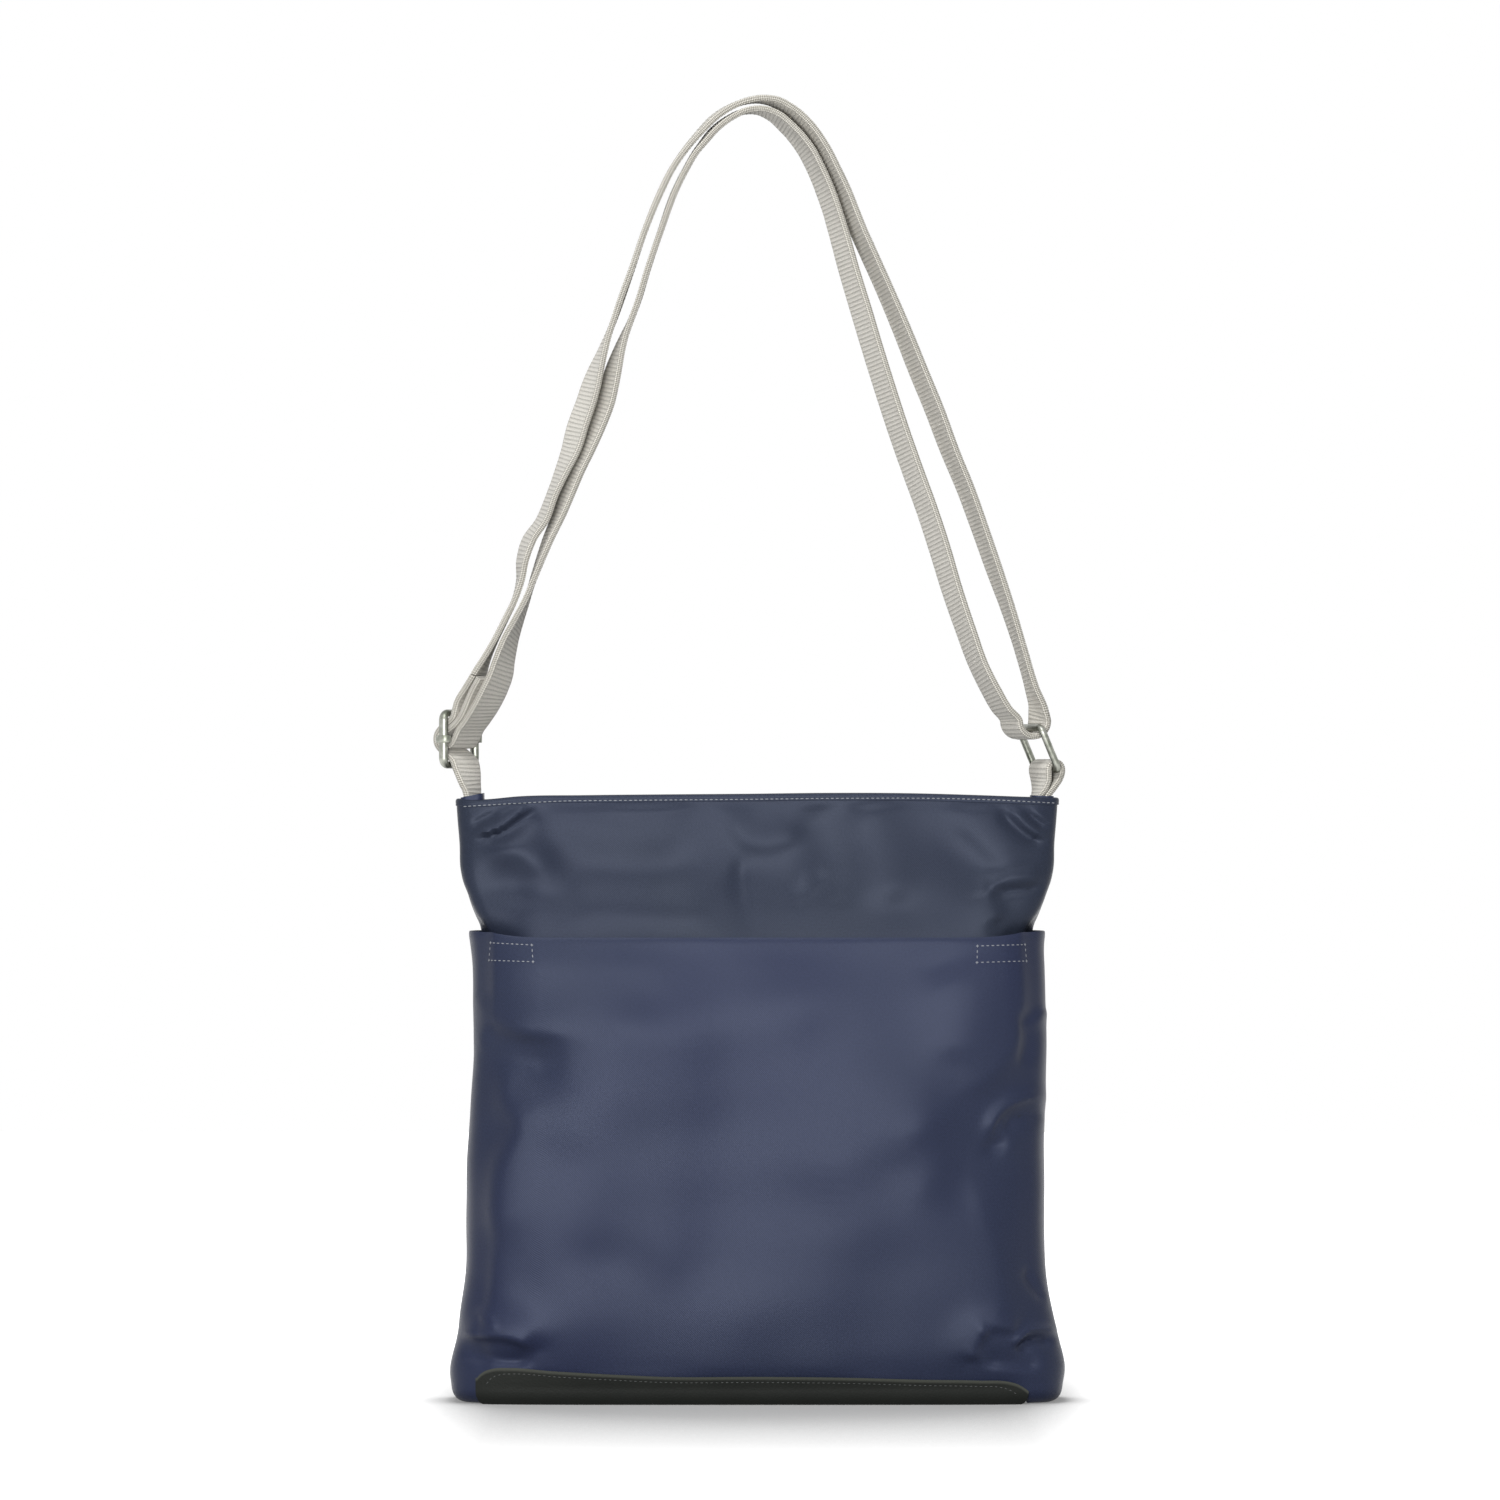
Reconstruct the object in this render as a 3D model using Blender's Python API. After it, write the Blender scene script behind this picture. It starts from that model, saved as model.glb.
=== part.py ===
"""Crossbody bag: a flat zipped pouch of nylon with a slip pocket that wraps round its front and
sides, a leather trim under its base, and one long webbing strap that runs doubled between a
movable-bar adjuster at the left corner and a wire ring at the right one.

The frame: +X to the right of the front, -Y out of the front, +Z up. The origin lies on the
ground under the middle of the base.
"""

import math

import bmesh
import bpy
from mathutils import Matrix, Vector

for thing in list(bpy.data.objects):
    bpy.data.objects.remove(thing, do_unlink=True)

# Cloth, leather and the gap that touching layers keep
FABRIC = 0.0012
LINING_CLOTH = 0.0008
LEATHER = 0.0014
HEM_CLOTH = 0.0015
GAP = 0.0003

# The body: a rounded rectangle at every height, widest at the foot, drawn in at the waist
BAG_HEIGHT = 0.3015
BAG_HALF_WIDTH = 0.1505
BAG_HALF_DEPTH = 0.038
FOOT_RADIUS = 0.005
FOOT_LIP = 0.0015
WIDTH_SHARES = (
    (0.0, 1.0), (0.045, 0.998), (0.066, 0.987), (0.106, 0.963), (0.166, 0.940),
    (0.206, 0.929), (0.325, 0.917), (0.5, 0.910), (0.66, 0.908), (0.77, 0.913),
    (0.789, 0.921), (0.803, 0.934), (0.823, 0.950), (0.842, 0.962), (0.862, 0.975),
    (0.882, 0.983), (0.922, 0.987), (0.962, 0.993), (1.0, 0.998),
)
DEPTH_SHARES = (
    (0.0, 1.0), (0.1, 1.0), (0.2, 0.975), (0.4, 0.91), (0.6, 0.835), (0.77, 0.75),
    (0.895, 0.58), (1.0, 0.5),
)
FOOT_SQUARENESS_SHARE = 5.6
MOUTH_SQUARENESS_SHARE = 8.0
SEAM_SHARE = 0.955
ROW_SHARES = (
    0.045, 0.07, 0.11, 0.17, 0.24, 0.34, 0.45, 0.56, 0.66, 0.74, 0.78, 0.803, 0.83,
    0.86, 0.89, 0.94,
)
LINING_ROW_SHARES = (0.045, 0.11, 0.24, 0.45, 0.66, 0.78, 0.803, 0.86, 0.93)

# The hem that binds the mouth, and the lining inside it
HEM_DEPTH = 0.0038
LINING_EASE = 0.0022

# The slip pocket: one band of cloth round the front and both sides
POCKET_HEIGHT = 0.232
POCKET_EASE = 0.0005
POCKET_CORNER_RISE = 0.004
POCKET_RISE_SHARE = 0.78
FRONT_BULGE = 0.009
FRONT_BULGE_SHARES = (
    (0.0, 0.0), (0.05, 0.0), (0.08, 0.12), (0.15, 0.45), (0.27, 0.8), (0.4, 1.0),
    (0.58, 0.95), (0.7, 0.8), (0.77, 0.68), (0.8, 0.66),
)
SIDE_BULGE = 0.0048
SIDE_BULGE_SHARES = (
    (0.0, 0.0), (0.03, 0.05), (0.047, 0.25), (0.066, 0.5), (0.11, 0.62), (0.17, 0.9),
    (0.25, 0.96), (0.5, 0.96), (0.66, 0.92), (0.77, 1.0), (0.8, 0.9),
)
BULGE_POWER_SHARE = 2.5
SIDE_POCKET_BACK_SHARE = 0.55

# The leather trim, folded under the base
TRIM_END_INSET = 0.013
TRIM_HALF_LENGTH = BAG_HALF_WIDTH - TRIM_END_INSET
TRIM_LEG = 0.015
TRIM_CORNER = 0.013
TRIM_TURN = math.radians(75)

# Webbing, and the wire of the metal pieces
WEB_WIDTH = 0.025
WEB_THICKNESS = 0.003
WIRE_RADIUS = 0.0018
BAR_RADIUS = 0.0015
COLLAR_HEIGHT = 0.0071
COLLAR_WALL = 0.0009
SLIDE_CLEARANCE = 0.0002
EDGE_CLEARANCE = 0.0007
WEB_STEP = 0.009
FOLD_DROP = 0.0115

# The strap's routes, read off the photograph: across, down, depth, and turn in degrees.
# A pixel is this long at the bag, whose mouth is on this row and whose middle is on this column.
PIXEL = 0.0005
CENTRE_COLUMN_PX = 757.0
MOUTH_ROW_PX = 797.0
TAIL_FOOT_PX = (
    (473.4, 831, -0.5, -12), (472.4, 797, -0.5, -13), (471.4, 789, 0, -16),
    (469.4, 781, 0.4, -21),
)
TAIL_HEAD_PX = ((466.3, 701, 2, -24), (469.6, 689, 0.3, -18), (478, 673.5, -3.5, -12))
OUTER_RUN_PX = (
    (485.5, 660, -4, -5), (495.3, 640, -3, 0), (505.5, 619, -1, 1),
    (515, 599, 0, 2), (520.4, 580, 0, 5), (522.6, 560, 0, 10), (529.1, 540, 0, 13),
    (542.5, 520, 0, 12), (552.3, 495, 0, 10), (561.9, 472, 0, 14), (571.3, 449, 0, 20),
    (577.8, 426, 0, 22), (585.9, 403, 0, 21), (592.9, 380, 0, 18), (596.7, 368, 0, 14),
    (603, 350, 0, 7), (606.8, 339, 0, 4), (613.9, 320, 0, 1), (620.9, 300, 0, 0),
    (631.5, 270, 0, 1), (645, 230, 0, 2), (661.5, 190, 0, 3), (671.5, 170, 0, 3),
    (685, 150, 0, 4), (701, 131, 0, 6), (715, 117, 0, 8), (730.6, 107, 0, 9),
    (745, 101.4, 0, 10), (760, 99.4, 0, 12), (773, 101.4, 0, 13), (788, 109.5, 0, 14),
    (804, 124, 0, 15), (820, 146, 0, 15), (832.5, 170, 0, 15), (842, 190, 0, 15),
    (850, 210, 0, 15), (858, 230, 0, 15), (867, 250, 0, 15), (885, 290, 0, 15),
    (902, 330, 0, 16), (918, 370, 0, 17), (934.5, 410, 0, 17), (949.5, 450, 0, 16),
    (966, 490, 0, 15), (980.5, 530, 0, 14), (994.5, 570, 0, 13), (1008.5, 610, 0, 10),
    (1021, 650, -1, 8), (1032.5, 690, -2, 10), (1038.5, 709, -1, 16),
)
INNER_RUN_PX = (
    (1001.5, 709, -13, 19), (990.5, 690, -14, 18), (979.5, 668, -13, 17), (965.5, 630, -10, 18),
    (952, 590, -7, 19), (940, 550, -5, 20), (927, 510, -3, 20), (912.5, 470, -1, 20),
    (898.5, 430, 0, 20), (885.5, 390, 0, 20), (873, 350, 0, 20), (861, 310, 0, 20),
    (849, 270, 0, 19), (838, 230, 0, 18), (832, 210, 0, 17), (825, 190, 0, 17),
    (816.5, 170, 0, 16), (806, 150, 0, 16), (788, 128, 0, 15), (773, 115.5, 0, 14),
    (760, 110.6, 0, 12), (744, 111.4, 0, 10), (730.6, 117.4, 0, 9), (715, 129, 0, 8),
    (703, 143, 0, 6), (696, 152, 0, 4), (685.5, 170, 0, 3), (675.5, 190, 0, 3),
    (661, 230, 0, 2), (647.5, 270, 0, 1), (638.5, 300, 0, 1), (631, 320, 0, 2),
    (623.1, 339, 0, 6), (618.6, 352, 0, 10), (613.9, 368, 0, 15), (609.6, 385, 0, 18),
    (604.7, 403, 0, 20), (596, 426, 0, 20), (586, 449, 0, 19), (575.5, 472, 0, 17),
    (566.5, 495, 0, 15), (557.6, 518, 0, 12), (548, 540, -1.5, 9), (540.5, 560, -3, 6),
    (533.4, 580, -5, 3), (527, 599, -7, -1), (518.5, 620, -9, -7), (510.5, 640, -11, -14),
    (504.5, 660, -13, -20), (500.4, 676, -13.5, -25), (494.4, 690, -13, -28),
)
CUT_END_PX = ((484, 690, -7.5, -28), (490.6, 678, -11, -28))
TAB_LEGS_PX = (
    (1040.5, 831, 1, 5, 4), (1041, 797, 1, 6, 4), (1044.2, 789, 2, 12, 4.4),
    (1046.6, 780, 3, 18, 5.8),
)

# The adjuster: a wire frame that slides on a cross bar
ADJUSTER_PLACE_PX = (458.8, 739, 6)
ADJUSTER_TURN = math.radians(-28)
ADJUSTER_END_BAR = 0.01295
ADJUSTER_CORNER = 0.0036
SEWN_LEAN = math.radians(-39)
TAIL_LEAN = math.radians(12)

# The ring at the right corner, and the strap's loop under it
RING_PLACE_PX = (1038.4, 748.5, 0)
RING_TURN = math.radians(20.5)
RING_LEAN = math.radians(24)
RING_HALF_HEIGHT = 0.0114
RING_CORNER = 0.0033
STRAP_LOOP_RADIUS = 0.0076
STRAP_LOOP_SLUMP = math.radians(35)

# The zip across the mouth, and the folded tab that closes each of its ends
ZIP_DROP = 0.0095
TAPE_CLOTH = 0.0008
TAPE_EASE = 0.0006
TAPE_END_SHARE = 0.93
TOOTH_PITCH = 0.0034
TOOTH_WIDTH = 0.0012
TOOTH_REACH = 0.0009
TOOTH_HALF_HEIGHT = 0.0012
SPINE_INNER = 0.0013
SPINE_OUTER = 0.0023
CHAIN_END_INSET = 0.010
STOP_LENGTH = 0.004
END_TAB_CLOTH = 0.0012
END_TAB_HALF_SPAN = 0.013
END_TAB_RISE = 0.0015
END_TAB_DROP = 0.014
SLIDER_LENGTH = 0.012
SLIDER_HALF_WIDTH = 0.0046
SLIDER_NOSE_HALF_WIDTH = 0.003
SLIDER_PLATE = 0.0012
SLIDER_POST = 0.001
SLIDER_POST_LENGTH = 0.0028
BAIL_RADIUS = 0.0042
BAIL_WIRE = 0.0008
PULL_LENGTH = 0.024
PULL_WIDTH = 0.0075
PULL_THICKNESS = 0.0013
PULL_BAR = 0.0016
PULL_RISE = 0.0017
PULL_EASE = 0.0004

COLUMNS = 14
SIDE_COLUMNS = 8
LINING_COLUMNS = 10
LINING_SIDE_COLUMNS = 4
FOOT_STEPS = 3
WIRE_SIDES = 8
ARC_STEPS = 5

PAINTS = {
    "shell_nylon": ((0.045, 0.06, 0.10), 0.55, 0.0),
    "pocket_nylon": ((0.03, 0.055, 0.13), 0.5, 0.0),
    "lining": ((0.05, 0.055, 0.07), 0.7, 0.0),
    "base_leather": ((0.06, 0.065, 0.062), 0.5, 0.0),
    "webbing": ((0.62, 0.58, 0.50), 0.85, 0.0),
    "pewter": ((0.42, 0.41, 0.38), 0.3, 1.0),
    "zip_tape": ((0.03, 0.04, 0.07), 0.8, 0.0),
    "zip_teeth": ((0.05, 0.055, 0.07), 0.4, 0.0),
}


def paint(name, finish):
    """A material of its own for one object."""
    colour, roughness, metallic = PAINTS[finish]
    material = bpy.data.materials.new(name)
    material.use_nodes = True
    shader = material.node_tree.nodes["Principled BSDF"]
    shader.inputs["Base Color"].default_value = (*colour, 1.0)
    shader.inputs["Roughness"].default_value = roughness
    shader.inputs["Metallic"].default_value = metallic
    return material


def add(name, verts, faces, finish, origin=None, smooth=True):
    """One closed body, with its origin where it turns or slides."""
    origin = Vector(origin or (0, 0, 0))
    mesh = bpy.data.meshes.new(name)
    mesh.from_pydata([tuple(Vector(v) - origin) for v in verts], [], faces)
    work = bmesh.new()
    work.from_mesh(mesh)
    bmesh.ops.recalc_face_normals(work, faces=work.faces)
    work.to_mesh(mesh)
    work.free()
    if smooth:
        mesh.shade_smooth()
        mesh.set_sharp_from_angle(angle=math.radians(40))
    mesh.materials.append(paint(name, finish))
    body = bpy.data.objects.new(name, mesh)
    body.location = origin
    bpy.context.scene.collection.objects.link(body)
    return body


def read(table, share):
    """The value of a table of shares, on a smooth curve through its points."""
    if share <= table[0][0]:
        return table[0][1]
    for i in range(len(table) - 1):
        (x0, y0), (x1, y1) = table[i], table[i + 1]
        if share <= x1:
            before = table[max(i - 1, 0)]
            after = table[min(i + 2, len(table) - 1)]
            slope0 = (y1 - before[1]) / (x1 - before[0])
            slope1 = (after[1] - y0) / (after[0] - x0)
            t = (share - x0) / (x1 - x0)
            span = x1 - x0
            return (
                (1 + 2 * t) * (1 - t) ** 2 * y0
                + t * (1 - t) ** 2 * span * slope0
                + t * t * (3 - 2 * t) * y1
                + t * t * (t - 1) * span * slope1
            )
    return table[-1][1]


# The body's surface. "out" moves it outwards: below zero lies inside the cloth.
BASE = LEATHER + GAP
FOOT_TOP = BASE + FOOT_RADIUS
PANEL_FOOT = FOOT_TOP + FOOT_LIP
HEM_FOOT = BAG_HEIGHT - HEM_DEPTH


def squareness(height):
    share = height / BAG_HEIGHT
    return FOOT_SQUARENESS_SHARE + share * (MOUTH_SQUARENESS_SHARE - FOOT_SQUARENESS_SHARE)


def half_width(height):
    return BAG_HALF_WIDTH * read(WIDTH_SHARES, height / BAG_HEIGHT)


def half_depth(height):
    return BAG_HALF_DEPTH * read(DEPTH_SHARES, height / BAG_HEIGHT)


def rounding(share, height):
    """The other axis's share where one axis has this share."""
    power = squareness(height)
    return (1 - min(abs(share), 1) ** power) ** (1 / power)


def on_face(share, height, side, out_x, out_y):
    """A point of the front (side -1) or the back (side 1)."""
    across = half_width(height) + out_x
    deep = half_depth(height) + out_y
    return Vector((share * across, side * deep * rounding(share, height), height))


def on_end(share, height, side, out_x, out_y):
    """A point of the left end (side -1) or the right end (side 1)."""
    across = half_width(height) + out_x
    deep = half_depth(height) + out_y
    return Vector((side * across * rounding(share, height), share * deep, height))


def seam_depth_share(height):
    return rounding(SEAM_SHARE, height)


def spread(low, high, count):
    """Shares from low to high, closer together at both ends."""
    places = []
    for i in range(count + 1):
        t = i / count
        eased = (1 - math.cos(math.pi * t)) / 2
        places.append(low + (high - low) * (t + eased) / 2)
    return places


def face_columns(height, count=COLUMNS):
    limit = SEAM_SHARE - GAP / half_width(height)
    return spread(-limit, limit, count)


def sheet(name, outer, inner, finish):
    """A closed body between two grids of points with the same rows and columns."""
    rows = len(outer)
    columns = len(outer[0])
    verts = [p for row in outer for p in row] + [p for row in inner for p in row]
    half = rows * columns
    faces = []
    for i in range(rows - 1):
        for j in range(columns - 1):
            a = i * columns + j
            faces.append((a, a + 1, a + columns + 1, a + columns))
            faces.append((half + a, half + a + columns, half + a + columns + 1, half + a + 1))
    loop = [j for j in range(columns)]
    loop += [i * columns + columns - 1 for i in range(1, rows)]
    loop += [(rows - 1) * columns + j for j in reversed(range(columns - 1))]
    loop += [i * columns for i in reversed(range(1, rows - 1))]
    for a, b in zip(loop, loop[1:] + loop[:1]):
        faces.append((a, half + a, half + b, b))
    return add(name, verts, faces, finish)


def cup(name, outer, inner, finish):
    """A closed body open at its top: rings from the rim down, outside and inside."""
    count = len(outer[0])
    verts = [p for ring in outer for p in ring] + [p for ring in inner for p in ring]
    half = len(outer) * count
    faces = []
    for shell, rings in ((0, outer), (half, inner)):
        for i in range(len(rings) - 1):
            for j in range(count):
                a = shell + i * count + j
                b = shell + i * count + (j + 1) % count
                faces.append((a, b, b + count, a + count))
        last = shell + (len(rings) - 1) * count
        faces.append(tuple(range(last, last + count)))
    for j in range(count):
        b = (j + 1) % count
        faces.append((j, b, half + b, half + j))
    return add(name, verts, faces, finish)


def ring_round(height, out_x, out_y, columns, side_columns, level=None):
    """The whole section at a height, from the left seam round the front and back."""
    points = []
    depth_share = seam_depth_share(height)
    for share in spread(-SEAM_SHARE, SEAM_SHARE, columns):
        points.append(on_face(share, height, -1, out_x, out_y))
    for share in spread(-depth_share, depth_share, side_columns)[1:-1]:
        points.append(on_end(share, height, 1, out_x, out_y))
    for share in spread(SEAM_SHARE, -SEAM_SHARE, columns):
        points.append(on_face(share, height, 1, out_x, out_y))
    for share in spread(depth_share, -depth_share, side_columns)[1:-1]:
        points.append(on_end(share, height, -1, out_x, out_y))
    if level is not None:
        for point in points:
            point.z = level
    return points


def foot_rings(out, columns, side_columns):
    """The rounded lower edge, from the wall's foot to the flat underside."""
    rings = []
    for i in range(FOOT_STEPS + 1):
        angle = math.pi / 2 * i / FOOT_STEPS
        inset = FOOT_RADIUS - (FOOT_RADIUS + out) * math.cos(angle)
        level = FOOT_TOP - (FOOT_RADIUS + out) * math.sin(angle)
        rings.append(ring_round(FOOT_TOP, -inset, -inset, columns, side_columns, level))
    return rings


# Panels of the body
PANEL_TOP = HEM_FOOT - GAP
PANEL_LEVELS = [PANEL_FOOT + GAP]
PANEL_LEVELS += [BAG_HEIGHT * share for share in ROW_SHARES if BAG_HEIGHT * share < PANEL_TOP]
PANEL_LEVELS.append(PANEL_TOP)

for name, side in (("front_panel", -1), ("back_panel", 1)):
    skins = []
    for out in (0, -FABRIC):
        grid = []
        for level in PANEL_LEVELS:
            grid.append([on_face(s, level, side, out, out) for s in face_columns(level)])
        skins.append(grid)
    sheet(name, skins[0], skins[1], "shell_nylon")

for name, side in (("side_gusset_left", -1), ("side_gusset_right", 1)):
    skins = []
    for out in (0, -FABRIC):
        grid = []
        for level in PANEL_LEVELS:
            limit = seam_depth_share(level)
            shares = spread(-limit, limit, SIDE_COLUMNS)
            grid.append([on_end(s, level, side, out, out) for s in shares])
        skins.append(grid)
    sheet(name, skins[0], skins[1], "shell_nylon")

skins = []
for out in (0, -FABRIC):
    lip = ring_round(PANEL_FOOT, out, out, COLUMNS, SIDE_COLUMNS)
    skins.append([lip] + foot_rings(out, COLUMNS, SIDE_COLUMNS))
cup("bottom_panel", skins[0], skins[1], "shell_nylon")


# Webbing: a ribbon that follows a smooth route and turns about it
def place(point_px):
    across, down, out, turn = point_px
    spot = Vector((across - CENTRE_COLUMN_PX, out, MOUTH_ROW_PX - down)) * PIXEL
    return spot + Vector((0, 0, BAG_HEIGHT)), math.radians(turn)


def edge_way(turn):
    """The way to the webbing's near edge, seen from above."""
    return Vector((math.sin(turn), -math.cos(turn), 0))


def face_way(turn):
    """The way out of the webbing's face, seen from above."""
    return Vector((math.cos(turn), math.sin(turn), 0))


def smooth_route(stations, step):
    """More stations on a curve through the given ones, no further apart than a step."""
    places = [0.0]
    for (a, _), (b, _) in zip(stations, stations[1:]):
        places.append(places[-1] + (b - a).length)
    values = [Vector((*spot, turn)) for spot, turn in stations]
    slopes = []
    for i in range(len(values)):
        low, high = max(i - 1, 0), min(i + 1, len(values) - 1)
        slopes.append((values[high] - values[low]) / (places[high] - places[low]))
    out = [values[0]]
    for i in range(len(values) - 1):
        span = places[i + 1] - places[i]
        count = max(1, math.ceil(span / step))
        for k in range(1, count + 1):
            t = k / count
            start = values[i] * ((1 + 2 * t) * (1 - t) ** 2) + slopes[i] * (t * (1 - t) ** 2 * span)
            end = values[i + 1] * (t * t * (3 - 2 * t)) + slopes[i + 1] * (t * t * (t - 1) * span)
            out.append(start + end)
    return [(Vector(v[:3]), v[3]) for v in out]


def frames_of(stations):
    """Where the webbing's middle runs, with its way along and its half width and thickness."""
    route = smooth_route(stations, WEB_STEP)
    frames = []
    for i, (spot, turn) in enumerate(route):
        before = route[max(i - 1, 0)][0]
        after = route[min(i + 1, len(route) - 1)][0]
        along = (after - before).normalized()
        wide = edge_way(turn)
        wide = (wide - along * wide.dot(along)).normalized() * (WEB_WIDTH / 2)
        thick = along.cross(wide).normalized() * (WEB_THICKNESS / 2)
        frames.append((spot, along, wide, thick))
    return frames


def ribbon(name, frames, finish="webbing", origin=None):
    """A closed ribbon of the webbing's width and thickness."""
    verts = []
    for spot, _, wide, thick in frames:
        verts += [spot - wide - thick, spot + wide - thick]
        verts += [spot + wide + thick, spot - wide + thick]
    faces = [(0, 1, 2, 3)]
    for i in range(len(frames) - 1):
        for j in range(4):
            a = i * 4 + j
            b = i * 4 + (j + 1) % 4
            faces.append((a, b, b + 4, a + 4))
    last = len(verts) - 4
    faces.append((last + 3, last + 2, last + 1, last))
    return add(name, verts, faces, finish, origin)


def lean_arc(centre, radius, leans, turn, inner):
    """Stations round a bar, where the ribbon's lean from upright goes through the given ones.

    "inner" is 1 where the ribbon passes the bar on the bag's side, -1 where on the far side.
    """
    out_way = -face_way(turn)
    stations = []
    for lean in leans:
        spot = out_way * (-inner * math.cos(lean)) + Vector((0, 0, inner * math.sin(lean)))
        stations.append((centre + spot * radius, turn))
    return stations


def steps(low, high, count=ARC_STEPS):
    return [low + (high - low) * i / count for i in range(count + 1)]


WEB_ROUND_END = WIRE_RADIUS + GAP + WEB_THICKNESS / 2
WEB_ROUND_BAR = BAR_RADIUS + GAP + WEB_THICKNESS / 2
WEB_OVER_WEB = WEB_THICKNESS + GAP
ADJUSTER_CENTRE = place((*ADJUSTER_PLACE_PX, 0))[0]
LOW_BAR = ADJUSTER_CENTRE - Vector((0, 0, ADJUSTER_END_BAR))
HIGH_BAR = ADJUSTER_CENTRE + Vector((0, 0, ADJUSTER_END_BAR))
OVER_BAR = WEB_ROUND_BAR + WEB_OVER_WEB
CROSS_LEAN = math.asin((WEB_ROUND_END + OVER_BAR) / ADJUSTER_END_BAR)

tail = [place(p) for p in TAIL_FOOT_PX]
tail += lean_arc(LOW_BAR, WEB_ROUND_END, steps(TAIL_LEAN, CROSS_LEAN), ADJUSTER_TURN, 1)
tail += lean_arc(ADJUSTER_CENTRE, OVER_BAR, steps(CROSS_LEAN, -CROSS_LEAN), ADJUSTER_TURN, -1)
tail += lean_arc(HIGH_BAR, WEB_ROUND_END, steps(-CROSS_LEAN, -TAIL_LEAN), ADJUSTER_TURN, 1)
tail += [place(p) for p in TAIL_HEAD_PX]

# The ring's own axes: its bars run along "ring_bar", and it stands along "ring_up"
RING_CENTRE = place((*RING_PLACE_PX, 0))[0]
ring_bar = edge_way(RING_TURN)
ring_up = face_way(RING_TURN) * -math.sin(RING_LEAN) + Vector((0, 0, math.cos(RING_LEAN)))
RING_TOP_BAR = RING_CENTRE + ring_up * RING_HALF_HEIGHT
RING_LOW_BAR = RING_CENTRE - ring_up * RING_HALF_HEIGHT

LOOP_SLACK = STRAP_LOOP_RADIUS - WEB_ROUND_END
loop_centre = RING_TOP_BAR + Vector((0, 0, LOOP_SLACK * math.cos(STRAP_LOOP_SLUMP)))
loop_centre -= face_way(RING_TURN) * (LOOP_SLACK * math.sin(STRAP_LOOP_SLUMP))
under_ring = []
for angle in steps(0, math.pi, 2 * ARC_STEPS):
    spot = face_way(RING_TURN) * math.cos(angle) - Vector((0, 0, math.sin(angle)))
    under_ring.append((loop_centre + spot * STRAP_LOOP_RADIUS, RING_TURN))

# The sewn end goes round the adjuster's cross bar and back up beside the inner run
MAIN_ROUND_END = WEB_ROUND_END + 2 * WEB_OVER_WEB
FOLD_ROUND_END = WEB_ROUND_END + WEB_OVER_WEB
UNDER_BAR = math.pi / 2
main_leg = lean_arc(HIGH_BAR, MAIN_ROUND_END, [SEWN_LEAN, (SEWN_LEAN - CROSS_LEAN) / 2],
                    ADJUSTER_TURN, 1)
main_leg += lean_arc(ADJUSTER_CENTRE, WEB_ROUND_BAR, [-CROSS_LEAN / 2, -CROSS_LEAN],
                     ADJUSTER_TURN, 1)
round_bar = lean_arc(ADJUSTER_CENTRE, WEB_ROUND_BAR, steps(UNDER_BAR, -CROSS_LEAN),
                     ADJUSTER_TURN, -1)
fold_leg = lean_arc(HIGH_BAR, FOLD_ROUND_END, [-CROSS_LEAN, SEWN_LEAN], ADJUSTER_TURN, 1)

run = [place(p) for p in OUTER_RUN_PX]
run += under_ring
run += [place(p) for p in INNER_RUN_PX]
run += main_leg + round_bar + fold_leg
run += [place(p) for p in CUT_END_PX]

tab = []
legs = [place(p[:4]) + (p[4] * PIXEL,) for p in TAB_LEGS_PX]
for spot, turn, half in legs:
    tab.append((spot - face_way(turn) * half, turn))
for angle in steps(math.pi, 0, 2 * ARC_STEPS):
    spot = face_way(RING_TURN) * math.cos(angle) + Vector((0, 0, math.sin(angle)))
    tab.append((RING_LOW_BAR + spot * WEB_ROUND_END, RING_TURN))
for spot, turn, half in reversed(legs):
    tab.append((spot + face_way(turn) * half, turn))

FOLD_AXIS = Vector((0, 0, BAG_HEIGHT - FOLD_DROP))
webbing = frames_of(tail + run)
split = len(smooth_route(tail, WEB_STEP)) - 1
spot, along, wide, thick = webbing[split]
ribbon("strap_tail", webbing[:split + 1], origin=tail[0][0])
ribbon("strap_run", [(spot + along * GAP, along, wide, thick)] + webbing[split + 1:],
       origin=FOLD_AXIS)
ribbon("ring_tab", frames_of(tab), origin=tab[0][0])


def root_reach(stations):
    """How near the bag's middle a sewn-in end of webbing comes."""
    nearest = []
    for spot, turn in stations:
        slant = abs(math.sin(turn)) * WEB_WIDTH / 2 + math.cos(turn) * WEB_THICKNESS / 2
        nearest.append(abs(spot.x) - slant)
    return min(nearest)


TAIL_REACH = root_reach(tail[:2])
TAB_REACH = root_reach(tab[:2])
LINING_MOUTH = min(TAIL_REACH, TAB_REACH) - END_TAB_CLOTH - 2 * GAP


# The lining: one open sack, drawn in at its mouth to leave room for the strap's sewn ends
def lining_ring(height, out):
    drawn = max(0.0, half_width(height) - LINING_EASE - LINING_MOUTH)
    ease = min(1.0, max(0.0, (height / BAG_HEIGHT - LINING_ROW_SHARES[-2])
                        / (LINING_ROW_SHARES[-1] - LINING_ROW_SHARES[-2])))
    return ring_round(height, out - drawn * ease, out, LINING_COLUMNS, LINING_SIDE_COLUMNS)


skins = []
for out in (-LINING_EASE, -LINING_EASE - LINING_CLOTH):
    rings = [lining_ring(PANEL_TOP, out)]
    rings += [lining_ring(BAG_HEIGHT * share, out) for share in reversed(LINING_ROW_SHARES)]
    skins.append(rings + foot_rings(out, LINING_COLUMNS, LINING_SIDE_COLUMNS))
cup("lining", skins[0], skins[1], "lining")

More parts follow.
